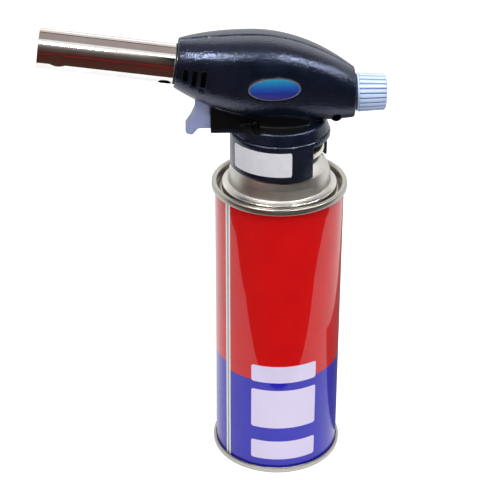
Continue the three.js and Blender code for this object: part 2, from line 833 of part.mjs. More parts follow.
function housingCuts() {
  const hubHole = rodZ(hubDiameter + 2 * seatGap, 0, discFloor + edge, headSides);
  const lipTop = plateTop + hubHeight + seatGap;
  const lipRoom = rodZ(hubDiameter + 2 * (hubLip + seatGap), discFloor, lipTop, headSides);
  const beyond = 2 * tubeReach;
  const piezoFit = box(
    [triggerBack, -piezoHalfWidth - seatGap, belly + piezoBottom - seatGap],
    [piezoRear + seatGap, piezoHalfWidth + seatGap, belly + piezoBottom + piezoHeight + seatGap],
  );
  const slotFront = triggerFront - slideGap;
  const slotTop = belly + triggerTop + slideGap;
  const slot = box([slotFront, -slotHalf, slotFloor], [triggerSweep, slotHalf, slotTop]);
  const railSide = slotHalf + railReach;
  const groove = box(
    [triggerTailBack - railLength - slideGap - seatGap, -railSide, railZ - railHeight / 2 - slideGap],
    [triggerSweep, railSide, railZ + railHeight / 2 + slideGap],
  );
  const tubeHole = inBurner(rodZ(tubeDiameter + 2 * seatGap, -tubeInside, beyond, headSides));
  const jetHole = inBurner(rodZ(2 * tubeBore - 2 * edge, -2 * tubeInside, -tubeInside, smallSides));
  const rimHole = inBurner(rodZ(
    tubeDiameter + 2 * (rimWidth + seatGap),
    -tubeInside - rimThickness - seatGap, -tubeInside + seatGap, headSides,
  ));
  const ahead = inBurner(box([-beyond, -beyond, 0], [beyond, beyond, beyond]));
  const valveFit = rodX(valveDiameter + 2 * seatGap, valveFront - seatGap, valveRear + seatGap)
    .translate(0, 0, knobAxis);
  const bossFit = rodZ(bossDiameter + 2 * seatGap, discBottom, knobAxis);
  const nutRoom = 2 * (nutWidth / Math.sqrt(3) + seatGap);
  const nutFit = rodX(nutRoom, valveRear, valveRear + nutLength + 2 * seatGap)
    .translate(0, 0, knobAxis);
  const spindleHole = rodX(spindleTail + 2 * slideGap, valveRear, bodyRear + edge)
    .translate(0, 0, knobAxis);
  const screwCuts = screwPlaces.flatMap(({ x, z, seat }) => [
    rodY(screwHeadDiameter + 2 * seatGap, -bodyWidth, -seat).translate(x, 0, z),
    rodY(screwDiameter + 2 * seatGap, -seat - edge, screwReach(seat) + seatGap).translate(x, 0, z),
  ]);
  const badgeRecess = cut(badgePrism(seatGap), outerForm(badgeThickness - badgeProud + seatGap));
  return [
    hubHole, lipRoom, piezoFit, slot, groove, tubeHole, jetHole, rimHole, ahead,
    valveFit, bossFit, nutFit, spindleHole,
    ...screwCuts, badgeRecess, ...ventSlots(),
  ];
}

function housing() {
  const outer = housingOuter();
  const shell = cut(outer, ...housingInner());
  return cut(join(shell, housingRibs(outer)), ...housingCuts());
}

function badgePlate() {
  const skin = cut(outerForm(-badgeProud), outerForm(badgeThickness - badgeProud));
  return common(skin, badgePrism(0));
}

function housingScrew(seat) {
  const head = screwHeadDiameter / 2;
  const shank = screwDiameter / 2;
  const top = seat + seatGap + screwHeadHeight;
  const body = turned([
    [0, -screwReach(seat)],
    [shank, -screwReach(seat) + shank],
    [shank, seat + seatGap],
    [head, seat + seatGap],
    [head, top - edge],
    [head - edge, top],
    [0, top],
  ], 16);
  const driver = [0, Math.PI / 2].map((turn) => (
    box([-shank, -edge / 2, top - screwHeadHeight / 2], [shank, edge / 2, top + edge]).rotateZ(turn)
  ));
  return cut(body, ...driver);
}

// Burner

const holderBack = tubeReach - dimpleFromTip - dimpleDiameter / 2 - holderThickness;
const holderFront = holderBack + holderThickness;
const sparkRadius = (mixerDiameter / 2 + tubeBore) / 2;
const mixerBack = -tubeInside + mixerNeckLength / 2;
const insulatorBack = -tubeInside - rimThickness / 2;

function flameTube() {
  const rim = tubeRadius + rimWidth;
  const back = -tubeInside - rimThickness;
  const tube = turned([
    [tubeBore, back],
    [rim, back],
    [rim, -tubeInside],
    [tubeRadius, -tubeInside],
    [tubeRadius, tubeReach],
    [tubeBore, tubeReach],
  ], headSides);
  const slot = new THREE.Shape();
  const half = (airSlotLength - airSlotWidth) / 2;
  slot.absarc(airSlotPlace - half, 0, airSlotWidth / 2, Math.PI / 2, 3 * Math.PI / 2, false);
  slot.absarc(airSlotPlace + half, 0, airSlotWidth / 2, -Math.PI / 2, Math.PI / 2, false);
  slot.closePath();
  const through = raised(slot, -tubeDiameter, tubeDiameter, 5)
    .rotateY(-Math.PI / 2)
    .rotateZ(radians(airSlotAngle));
  const ball = (dimpleDiameter ** 2 / 4 + dimpleDepth ** 2) / (2 * dimpleDepth);
  const dimples = Array.from({ length: dimpleCount }, (_, i) => (
    new THREE.SphereGeometry(ball, 40, 30)
      .translate(tubeRadius + ball - dimpleDepth, 0, tubeReach - dimpleFromTip)
      .rotateZ(-radians(dimpleAngle) - 2 * Math.PI * i / dimpleCount)
  ));
  return cut(tube, through, ...dimples);
}

function flameHolder() {
  const outer = tubeBore - seatGap;
  const inner = mixerDiameter / 2 - mixerWall;
  const seat = mixerDiameter / 2 + seatGap;
  const step = holderBack + holderThickness / 2;
  const ring = turned([
    [seat, holderBack], [outer, holderBack], [outer, holderFront],
    [inner, holderFront], [inner, step], [seat, step],
  ], headSides);
  const holes = Array.from({ length: holderHoles }, (_, i) => {
    const diameter = i === 0 ? insulatorDiameter + 2 * seatGap : holderHoleDiameter;
    return rodZ(diameter, holderBack - edge, holderFront + edge, 8)
      .translate(-sparkRadius, 0, 0)
      .rotateZ(2 * Math.PI * i / holderHoles);
  });
  return cut(ring, ...holes);
}

function mixingTube() {
  const outer = mixerDiameter / 2;
  const inner = outer - mixerWall;
  const flange = tubeBore - seatGap;
  const front = holderBack + holderThickness / 2 - seatGap;
  const tube = turned([
    [mixerNeckBore / 2, mixerBack],
    [flange, mixerBack],
    [flange, mixerBack + mixerFlange],
    [outer, mixerBack + mixerFlange],
    [outer, front],
    [inner, front],
    [inner, mixerBack + mixerNeckLength],
    [mixerNeckBore / 2, mixerBack + mixerNeckLength],
  ], smallSides);
  const airPlace = mixerBack + mixerNeckLength + mixerAirHole;
  const airHoles = [rodX, rodY].map((rod) => (
    rod(mixerAirHole, -tubeRadius, tubeRadius, 8).translate(0, 0, airPlace)
  ));
  const flangeHoles = Array.from({ length: 4 }, (_, i) => (
    rodZ(insulatorDiameter + 2 * seatGap, mixerBack - edge, mixerBack + mixerFlange + edge, 10)
      .translate(-sparkRadius, 0, 0)
      .rotateZ(Math.PI / 2 * i)
  ));
  return cut(tube, ...airHoles, ...flangeHoles);
}

const jetHexFront = mixerBack - seatGap;
const jetBack = jetHexFront - jetHexLength - pipeEntry;

function gasJet() {
  const nose = mixerNeckBore / 2 - seatGap;
  const tip = jetHexFront + jetNoseLength;
  const entry = pipeDiameter / 2 + seatGap;
  const neck = entry + 2 * edge;
  const jet = turned([
    [jetBore / 2, tip],
    [nose - edge, tip],
    [nose, tip - edge],
    [nose, jetHexFront - edge],
    [neck, jetHexFront - edge],
    [neck, jetBack],
    [entry, jetBack],
    [entry, jetBack + pipeEntry + seatGap],
    [jetBore / 2, jetBack + pipeEntry + seatGap],
  ], smallSides);
  const ring = raised(hexagon(jetHexWidth), jetHexFront - jetHexLength, jetHexFront);
  const hex = cut(ring, rodZ(2 * entry, jetBack, jetHexFront + edge));
  return join(jet, hex);
}

function electrodeInsulator() {
  const outer = insulatorDiameter / 2;
  const bore = insulatorBore / 2;
  const tip = holderFront + insulatorReach;
  const rod = turned([
    [bore, insulatorBack], [outer, insulatorBack],
    [outer, tip - edge], [outer - edge / 2, tip], [bore, tip],
  ], 12);
  return rod.translate(-sparkRadius, 0, 0);
}

function electrodePin() {
  const tip = holderFront + insulatorReach;
  const bend = tip + pinReach / 2;
  const route = new THREE.CatmullRomCurve3([
    new THREE.Vector3(-sparkRadius, 0, holderBack),
    new THREE.Vector3(-sparkRadius, 0, tip),
    new THREE.Vector3(-sparkRadius, 0, bend),
    new THREE.Vector3(-sparkRadius + pinLean, 0, tip + pinReach),
  ], false, 'catmullrom', 0.5);
  return along(route, pinDiameter, 0, 10, 6);
}

// Gas way and valve, from the top of the bead

const bossFoot = discBottom + bossBottom;
const adapterTop = bossFoot + spigotLength;

function inletAdapter() {
  const outer = adapterDiameter / 2;
  const spigot = spigotDiameter / 2;
  const flange = adapterFlange / 2;
  const stemRoom = stemDiameter / 2 + slideGap;
  const sealRoom = stemDiameter / 2 + 2 * seatGap + sealWire;
  const stemTop = stemReach - pedestalDrop + seatGap;
  const sealTop = stemTop - sealWire;
  const sealLow = sealTop - sealWire - 2 * seatGap;
  const flangeLow = plateTop + seatGap;
  return turned([
    [stemRoom, adapterFoot],
    [outer, adapterFoot],
    [outer, flangeLow],
    [flange, flangeLow],
    [flange, flangeLow + adapterFlangeHeight],
    [spigot, flangeLow + adapterFlangeHeight],
    [spigot, adapterTop],
    [gasBore / 2, adapterTop],
    [gasBore / 2, stemTop],
    [stemRoom, stemTop],
    [stemRoom, sealTop],
    [sealRoom, sealTop],
    [sealRoom, sealLow],
    [stemRoom, sealLow],
  ], smallSides);
}

// A rubber ring of round section about Z.
function rubberRing(radius, wire, z) {
  return new THREE.TorusGeometry(radius, wire / 2, ringSides, smallSides).translate(0, 0, z);
}

function inletSeal() {
  const stemTop = stemReach - pedestalDrop + seatGap;
  const radius = stemDiameter / 2 + seatGap + sealWire / 2;
  return rubberRing(radius, sealWire, stemTop - 1.5 * sealWire - seatGap);
}

function valveBody() {
  const bar = rodX(valveDiameter, valveFront, valveRear, headSides).translate(0, 0, knobAxis);
  const boss = rodZ(bossDiameter, bossFoot, knobAxis, headSides);
  const spigotRoom = rodZ(spigotDiameter + 2 * seatGap, bossFoot - edge, adapterTop + seatGap);
  const rise = rodZ(gasBore, bossFoot, knobAxis, 12);
  const seatBore = rodX(needleDiameter - 2 * seatGap, valveFront / 2, valveRear)
    .translate(0, 0, knobAxis);
  const spindleRoom = rodX(
    spindleDiameter + 2 * slideGap, needleTip + needleLength - slideGap, valveRear + edge,
  ).translate(0, 0, knobAxis);
  const cone = turned([
    [0, needleTip - seatGap],
    [needleDiameter / 2, needleTip - seatGap],
    [needleDiameter / 2 + slideGap, needleTip + needleLength],
    [0, needleTip + needleLength],
  ], 16).rotateY(Math.PI / 2).translate(0, 0, knobAxis);
  const outlet = rodZ(pipeDiameter + 2 * seatGap, pipeFoot - seatGap, knobAxis + valveDiameter, 16)
    .translate(pipeX, 0, 0);
  const outletRise = rodZ(gasBore, knobAxis, knobAxis + valveDiameter, 12).translate(pipeX, 0, 0);
  return cut(join(bar, boss), spigotRoom, rise, seatBore, spindleRoom, cone, outlet, outletRise);
}

const pipeX = valveFront / 3;
const pipeFoot = knobAxis + valveDiameter / 2 - pipeEntry;

function gasPipe() {
  const into = burnerPoint(0, 0, jetBack + pipeEntry);
  const out = burnerPoint(0, 0, jetBack - pipeDiameter);
  const bendTop = burnerPoint(0, 0, jetBack - 2.5 * pipeDiameter);
  const route = new THREE.CatmullRomCurve3([
    new THREE.Vector3(pipeX, 0, pipeFoot),
    new THREE.Vector3(pipeX, 0, pipeFoot + pipeEntry),
    new THREE.Vector3(pipeX - pipeDiameter / 2, 0, bendTop.z - pipeDiameter),
    bendTop,
    out,
    into,
  ], false, 'centripetal');
  return along(route, pipeDiameter, pipeDiameter - 2 * pipeWall, 14);
}

function valveSpindle() {
  const body = spindleDiameter / 2;
  const shoulderX = needleTip + needleLength;
  const tailStart = valveRear - slideGap - spindlePitch * spindleTurns;
  const groove = body - spindleGroove;
  const side = (oringWire + 2 * seatGap) / 2;
  return turned([
    [0, needleTip],
    [needleDiameter / 4, needleTip],
    [needleDiameter / 2 - seatGap, needleTip + needleLength - edge],
    [needleDiameter / 2 - seatGap, shoulderX],
    [body, shoulderX],
    [body, oringPlace - side],
    [groove, oringPlace - side],
    [groove, oringPlace + side],
    [body, oringPlace + side],
    [body, tailStart],
    [spindleTail / 2, tailStart],
    [spindleTail / 2, knobStart + knobSocket - seatGap],
    [0, knobStart + knobSocket - seatGap],
  ], smallSides).rotateY(Math.PI / 2);
}

function spindleOring() {
  const radius = spindleDiameter / 2 - spindleGroove + seatGap + oringWire / 2;
  return rubberRing(radius, oringWire, oringPlace).rotateY(Math.PI / 2);
}

function glandNut() {
  const start = valveRear + seatGap;
  const nut = raised(hexagon(nutWidth), start, start + nutLength).rotateY(Math.PI / 2);
  return cut(nut, rodX(spindleTail + 2 * slideGap, start - edge, start + nutLength + edge));
}

// The knob: a fluted bar drawn in towards its outer end, with a plain collar at its inner end.
function gasKnob() {
  const outer = knobDiameter / 2;
  const outline = new THREE.Shape(Array.from({ length: 4 * knobFlutes }, (_, i) => {
    const turn = 2 * Math.PI * i / (4 * knobFlutes);
    const depth = [0, 0, 0.8, 0.8][i % 4] * fluteDepth;
    return new THREE.Vector2((outer - depth) * Math.cos(turn), (outer - depth) * Math.sin(turn));
  }));
  const length = knobLength - knobCollar;
  const bar = new THREE.ExtrudeGeometry(outline, { depth: length, steps: 2, bevelEnabled: false });
  const points = bar.attributes.position;
  const endScale = knobEndDiameter / knobDiameter;
  for (let i = 0; i < points.count; i++) {
    const along01 = points.getZ(i) / length;
    const shoulderZ = length - knobChamfer;
    const middle = along01 > 0.25 && along01 < 0.75;
    const scale = along01 > 0.75 ? endScale - knobChamfer / outer : middle ? endScale : 1;
    const z = middle ? shoulderZ : points.getZ(i);
    points.setXYZ(i, points.getX(i) * scale, points.getY(i) * scale, z);
  }
  bar.translate(0, 0, knobStart + knobCollar).rotateY(Math.PI / 2);
  const rim = rodX(knobCollarDiameter, knobStart, knobStart + knobCollar + edge, headSides);
  const socket = rodX(spindleTail + 2 * seatGap, knobStart - edge, knobStart + knobSocket, 16);
  return cut(join(bar, rim), socket);
}

// Trigger and spark unit

const triggerUnder = slotFloor + triggerFoot;

function trigger() {
  const top = belly + triggerTop;
  const neckLow = triggerUnder + 2 * lipForward;
  const lipFront = triggerFront - lipForward;
  const lipTop = triggerUnder + lipForward / 2;
  const lipFoot = triggerUnder - lipDrop;
  const tailTop = belly + triggerTailTop;
  const side = new THREE.Shape();
  side.moveTo(triggerFront, top);
  side.lineTo(triggerFront, neckLow);
  side.bezierCurveTo(
    triggerFront, neckLow - lipForward,
    lipFront + lipForward / 4, lipTop + lipForward / 3,
    lipFront, lipTop,
  );
  side.quadraticCurveTo(lipFront - edge / 2, lipFoot, lipFront + lipThicknessX / 2, lipFoot);
  side.quadraticCurveTo(lipFront + lipThicknessX, lipFoot, lipFront + 1.5 * lipThicknessX, triggerUnder);
  side.lineTo(triggerTailBack, triggerUnder);
  side.lineTo(triggerTailBack, tailTop);
  side.lineTo(triggerBack, tailTop + edge);
  side.lineTo(triggerBack, top);
  side.closePath();
  const body = raised(side, -triggerHalfWidth, triggerHalfWidth, 6).rotateX(Math.PI / 2);
  const reach = triggerHalfWidth + railReach;
  const rails = box(
    [triggerTailBack - railLength, -reach, railZ - railHeight / 2],
    [triggerTailBack - edge / 2, reach, railZ + railHeight / 2],
  );
  return join(body, rails);
}

const piezoFront = triggerBack + triggerTravel + slideGap;
const piezoMiddle = belly + piezoBottom + piezoHeight / 2;

function piezoCase() {
  const block = box(
    [piezoFront, -piezoHalfWidth, belly + piezoBottom],
    [piezoRear, piezoHalfWidth, belly + piezoBottom + piezoHeight],
  );
  const depth = piezoFront + plungerLength + slideGap;
  const bore = rodX(plungerDiameter + 2 * slideGap, piezoFront - edge, depth).translate(0, 0, piezoMiddle);
  const top = belly + piezoBottom + piezoHeight;
  const terminal = rodZ(terminalDiameter, top - edge, top + terminalHeight, 12)
    .translate(terminalX, 0, 0);
  return cut(join(block, terminal), bore);
}

function piezoPlunger() {
  const start = triggerBack + seatGap;
  return rodX(plungerDiameter, start, start + plungerLength, 16).translate(0, 0, piezoMiddle);
}

function ignitionWire() {
  const top = belly + piezoBottom + piezoHeight + terminalHeight;
  const foot = new THREE.Vector3(terminalX, 0, top + seatGap);
  const route = new THREE.CatmullRomCurve3([
    foot,
    foot.clone().add(new THREE.Vector3(0, 0, 2 * wireDiameter)),
    burnerPoint(-sparkRadius, 0, insulatorBack - 5 * wireDiameter),
    burnerPoint(-sparkRadius, 0, insulatorBack - 2 * wireDiameter),
    burnerPoint(-sparkRadius, 0, insulatorBack - seatGap),
  ], false, 'centripetal');
  return along(route, wireDiameter, 0, 14);
}

// Finishes
const redLacquer = finish(0xbe1414, 0.2, 0.1);
const tin = finish(0xc4c2bc, 0.3, 0.9);
const steel = finish(0xd2d0ce, 0.15, 1);
const brass = finish(0xb9964a, 0.35, 1);
const copper = finish(0xb06a45, 0.35, 1);
const darkSteel = finish(0x55555a, 0.45, 1);
const navy = finish(0x161c2e, 0.45, 0);
const lavender = finish(0x9fb0e6, 0.45, 0);
const white = finish(0xf0f0f2, 0.5, 0);
const badgeBlue = finish(0x1f6fae, 0.3, 0.2);
const rubber = finish(0x1c1c1c, 0.8, 0);
const whitePlastic = finish(0xe6e4dc, 0.6, 0);
const ceramic = finish(0xefe9df, 0.4, 0);
const blackPlastic = finish(0x202022, 0.6, 0);

// Assembly
const torch = new THREE.Group();

const cartridge = new THREE.Group();
piece(cartridge, 'can_body', canBody(), redLacquer);
piece(cartridge, 'can_dome', canDome(), tin);
piece(cartridge, 'can_bottom', canBottom(), tin);
piece(cartridge, 'mounting_cup', mountingCup(), tin);
piece(cartridge, 'valve_housing', valveHousing(), whitePlastic);
piece(cartridge, 'stem_gasket', stemGasket(), rubber);
piece(cartridge, 'valve_stem', valveStem(), whitePlastic);
piece(cartridge, 'valve_spring', valveSpring(), steel);
piece(cartridge, 'dip_tube', dipTube(), whitePlastic);
torch.add(cartridge);

const head = new THREE.Group();
head.position.z = beadTop;
piece(head, 'collar', collar(), navy);
piece(head, 'collar_label', collarLabel(), white);
const shell = housing();
const sideSpan = 4 * bodyWidth;
const nearSide = box([-sideSpan, -sideSpan, -sideSpan], [sideSpan, -partingGap / 2, sideSpan]);
const farSide = box([-sideSpan, partingGap / 2, -sideSpan], [sideSpan, sideSpan, sideSpan]);
piece(head, 'housing_near', common(shell, nearSide), navy);
piece(head, 'housing_far', common(shell, farSide), navy);
piece(head, 'badge_plate', badgePlate(), badgeBlue);
for (const { name, x, z, seat } of screwPlaces) {
  const place = new THREE.Group();
  place.position.set(x, 0, z);
  place.rotation.x = Math.PI / 2;
  piece(place, name, housingScrew(seat), darkSteel);
  head.add(place);
}
piece(head, 'inlet_adapter', inletAdapter(), brass);
piece(head, 'inlet_seal', inletSeal(), rubber);
piece(head, 'valve_body', valveBody(), brass);
piece(head, 'gas_pipe', gasPipe(), copper);
piece(head, 'piezo_case', piezoCase(), blackPlastic);
piece(head, 'piezo_plunger', piezoPlunger(), whitePlastic);
piece(head, 'trigger', trigger(), lavender);
piece(head, 'ignition_wire', ignitionWire(), blackPlastic);

const burner = new THREE.Group();
burner.position.set(bodyFront, 0, tubeAxis);
burner.rotation.y = burnerTurn;
piece(burner, 'flame_tube', flameTube(), steel);
piece(burner, 'flame_holder', flameHolder(), brass);
piece(burner, 'mixing_tube', mixingTube(), brass);
piece(burner, 'gas_jet', gasJet(), brass);
piece(burner, 'electrode_insulator', electrodeInsulator(), ceramic);
piece(burner, 'electrode_pin', electrodePin(), steel);
head.add(burner);

const valveAxis = new THREE.Group();
valveAxis.position.z = knobAxis;
piece(valveAxis, 'gland_nut', glandNut(), brass);
piece(valveAxis, 'valve_spindle', valveSpindle(), brass);
piece(valveAxis, 'spindle_oring', spindleOring(), rubber);
piece(valveAxis, 'gas_knob', gasKnob(), lavender);
head.add(valveAxis);
torch.add(head);

// The origin is the middle of the footprint's box, on the ground.
const extent = new THREE.Box3().setFromObject(torch, true);
torch.position.x = -(extent.min.x + extent.max.x) / 2;

export default torch;
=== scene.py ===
import json
from functools import partialmethod
from math import cos, degrees, pi, radians, sin, tan

import bmesh
import bpy
from mathutils import Matrix, Vector


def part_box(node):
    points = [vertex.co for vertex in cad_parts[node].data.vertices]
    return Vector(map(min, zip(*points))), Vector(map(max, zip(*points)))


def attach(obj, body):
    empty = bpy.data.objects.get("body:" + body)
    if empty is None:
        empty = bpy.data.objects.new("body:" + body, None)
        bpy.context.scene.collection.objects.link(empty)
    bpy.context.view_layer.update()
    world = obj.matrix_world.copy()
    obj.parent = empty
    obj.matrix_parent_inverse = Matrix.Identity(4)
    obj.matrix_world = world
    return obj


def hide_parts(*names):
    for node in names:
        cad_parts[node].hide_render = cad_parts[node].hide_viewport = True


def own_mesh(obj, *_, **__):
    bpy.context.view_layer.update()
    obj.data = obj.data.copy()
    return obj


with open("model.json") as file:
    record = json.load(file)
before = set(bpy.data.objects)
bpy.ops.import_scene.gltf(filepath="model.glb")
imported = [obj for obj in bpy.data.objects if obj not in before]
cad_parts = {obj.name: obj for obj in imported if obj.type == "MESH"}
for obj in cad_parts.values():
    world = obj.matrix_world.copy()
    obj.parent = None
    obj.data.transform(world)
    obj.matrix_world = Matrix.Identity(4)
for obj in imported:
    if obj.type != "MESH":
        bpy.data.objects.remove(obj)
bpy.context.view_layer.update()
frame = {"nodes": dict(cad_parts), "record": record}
scene = bpy.context.scene
mm = 0.001
seatGap = 0.3  # between pieces that bear on each other
farOut = 40  # a cutter's outer end, clear of what it cuts

canLowCorner, canHighCorner = (Vector(corner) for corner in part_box("can_body"))
canAxis = Vector(((canLowCorner.x + canHighCorner.x) / 2, 0, 0))
toFrame = Matrix.Translation(canAxis) @ Matrix.Scale(mm, 4)  # from mm about the can's axis


def nodeBox(name):
    low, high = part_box(name)
    return (Vector(low) - canAxis) / mm, (Vector(high) - canAxis) / mm


beadTop = nodeBox("mounting_cup")[1].z
discFoot = nodeBox("housing_near")[0].z
discRise = 0.4  # the disc's foot and the collar's top show this much higher
collarLow, collarHigh = nodeBox("collar")
print("frame loaded, can axis at", round(canAxis.x, 5), "bead top", round(beadTop, 2),
      "disc foot", round(discFoot, 2))


# shapes, in mm about the can's axis

def turnBy(angle, axis):
    return Matrix.Rotation(radians(angle), 4, axis)


def put(bm, place):
    if place:
        bmesh.ops.transform(bm, matrix=place, verts=bm.verts)
    return bm


def roundEdges(bm, edges, size, segments):
    bmesh.ops.bevel(bm, geom=edges, offset=size, affect="EDGES", segments=segments, profile=0.5, material=-1)


def softOutline(points, steps=4):  # a point's third value rounds its corner
    outline = []
    for i, point in enumerate(points):
        here = Vector(point[:2])
        if len(point) < 3:
            outline.append(here)
            continue
        back = Vector(points[i - 1][:2]) - here
        ahead = Vector(points[(i + 1) % len(points)][:2]) - here
        run = min(point[2] / tan(back.angle(ahead) / 2), 0.49 * back.length, 0.49 * ahead.length)
        first, last = here + back.normalized() * run, here + ahead.normalized() * run
        for k in range(steps + 1):
            t = k / steps
            outline.append(first * (1 - t) ** 2 + here * 2 * t * (1 - t) + last * t ** 2)
    return outline


def turned(points, steps, closed=True, place=None, sweep=360):
    bm = bmesh.new()
    verts = [bm.verts.new((r, 0, z)) for r, z in softOutline(points)]
    edges = [bm.edges.new(pair) for pair in zip(verts, verts[1:])]
    if closed:
        edges.append(bm.edges.new((verts[-1], verts[0])))
    full = sweep == 360
    start = verts + edges if full else verts + edges + [bm.faces.new(verts)]
    bmesh.ops.spin(bm, geom=start, cent=(0, 0, 0), axis=(0, 0, 1), angle=radians(sweep), steps=steps,
                   use_merge=full)
    bmesh.ops.remove_doubles(bm, verts=bm.verts, dist=1e-4)
    bmesh.ops.recalc_face_normals(bm, faces=bm.faces)
    return put(bm, place)


def sector(inner, outer, start, end, low, high, steps):
    return turned([(inner, low), (outer, low), (outer, high), (inner, high)], steps,
                  place=turnBy(start, "Z"), sweep=end - start)


def rod(radius, start, end, segments=48, place=None):  # along the place's own Z
    bm = bmesh.new()
    middle = Matrix.Translation((0, 0, (start + end) / 2))
    bmesh.ops.create_cone(bm, cap_ends=True, segments=segments, radius1=radius, radius2=radius,
                          depth=end - start, matrix=(place or Matrix()) @ middle)
    return bm


def brick(low, high, place=None, bevel=0, along=None):  # along keeps the bevel to edges that run so
    bm = bmesh.new()
    low, high = Vector(low), Vector(high)
    size = Matrix.Diagonal((*(high - low), 1))
    bmesh.ops.create_cube(bm, size=1, matrix=Matrix.Translation((low + high) / 2) @ size)

    def runs(edge):
        way = edge.verts[1].co - edge.verts[0].co
        return along is None or abs(way.normalized()[along]) > 0.9

    if bevel:
        roundEdges(bm, [edge for edge in bm.edges if runs(edge)], bevel, 6)
    return put(bm, place)


def ringEdges(made):
    return {edge for vert in made["verts"] for edge in vert.link_edges}


def skinned(bm, rings):  # rings of edges, bridged and capped
    for ring, following in zip(rings, rings[1:]):
        bmesh.ops.bridge_loops(bm, edges=list(ring | following))
    bmesh.ops.holes_fill(bm, edges=list(rings[0] | rings[-1]), sides=0)
    bmesh.ops.recalc_face_normals(bm, faces=bm.faces)
    return bm


def loft(places, segments, fullness=None):  # unit circles at these places
    bm = bmesh.new()
    rings = []
    for i, place in enumerate(places):
        made = bmesh.ops.create_circle(bm, segments=segments, radius=1)
        for vert in made["verts"]:
            if fullness and vert.co.x < 0:  # the half that ends up on top
                vert.co.xy /= sum(abs(c) ** fullness[i] for c in vert.co.xy) ** (1 / fullness[i])
        bmesh.ops.transform(bm, matrix=place, verts=made["verts"])
        rings.append(ringEdges(made))
    return skinned(bm, rings)


def asShape(form, name="shape"):  # a bmesh becomes an object
    if isinstance(form, bpy.types.Object):
        return form
    mesh = bpy.data.meshes.new(name)
    form.to_mesh(mesh)
    form.free()
    shape = bpy.data.objects.new(name, mesh)
    scene.collection.objects.link(shape)
    return shape


def bake(shape):  # its modifiers become its mesh
    bpy.context.view_layer.update()
    done = bpy.data.meshes.new_from_object(shape.evaluated_get(bpy.context.evaluated_depsgraph_get()))
    shape.modifiers.clear()
    old, shape.data = shape.data, done
    bpy.data.meshes.remove(old)
    return shape


def combine(form, operation, forms):
    shape, tools = asShape(form), [asShape(tool) for tool in forms]
    for tool in tools:
        step = shape.modifiers.new("combine", "BOOLEAN")
        step.operation, step.solver, step.object = operation, "MANIFOLD", tool
    bake(shape)
    for tool in tools:
        bpy.data.objects.remove(tool)
    return shape


def cut(form, *tools):
    return combine(form, "DIFFERENCE", tools)


def join(form, *tools):
    return combine(form, "UNION", tools)


def common(form, *tools):
    return combine(form, "INTERSECT", tools)


def moulded(shape, voxel, rounds):  # even skin with softly rounded edges
    remesh = shape.modifiers.new("skin", "REMESH")
    remesh.mode, remesh.voxel_size = "VOXEL", voxel
    soften = shape.modifiers.new("soften", "SMOOTH")
    soften.factor, soften.iterations = 0.5, rounds
    return bake(shape)


def broken(shape, width, segments=2, limit=35):  # a small round on its sharp edges
    edge = shape.modifiers.new("edge", "BEVEL")
    edge.width, edge.segments, edge.profile = width, segments, 0.5
    edge.limit_method, edge.angle_limit = "ANGLE", radians(limit)
    edge.use_clamp_overlap = True
    return bake(shape)


def piece(form, name, body, material, node, sharp=30):
    shape = asShape(form)
    shape.data.transform(toFrame)
    shape.name = shape.data.name = name
    shape.data.materials.clear()
    shape.data.materials.append(material)
    shape.data.polygons.foreach_set("use_smooth", [True] * len(shape.data.polygons))
    shape.data.set_sharp_from_angle(angle=radians(sharp))
    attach(shape, body)
    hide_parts(node)


# finishes, with colours as 0-255 screen values

def colour(red, green, blue):
    def linear(value):
        value = value / 255
        return value / 12.92 if value < 0.04045 else ((value + 0.055) / 1.055) ** 2.4
    return linear(red), linear(green), linear(blue), 1.0


class Value:  # a socket that takes Python's operators
    def __init__(self, look, socket):
        self.look, self.socket = look, socket

    def math(self, operation, *others):
        return self.look.node("Math", dict(enumerate((self, *others))), operation=operation)

    def __rsub__(self, other):
        return self.look.node("Math", {0: other, 1: self}, operation="SUBTRACT")

    __add__ = partialmethod(math, "ADD")
    __sub__ = partialmethod(math, "SUBTRACT")
    __mul__ = partialmethod(math, "MULTIPLY")
    __truediv__ = partialmethod(math, "DIVIDE")
    __pow__ = partialmethod(math, "POWER")
    __abs__ = partialmethod(math, "ABSOLUTE")
    atLeast = partialmethod(math, "MAXIMUM")


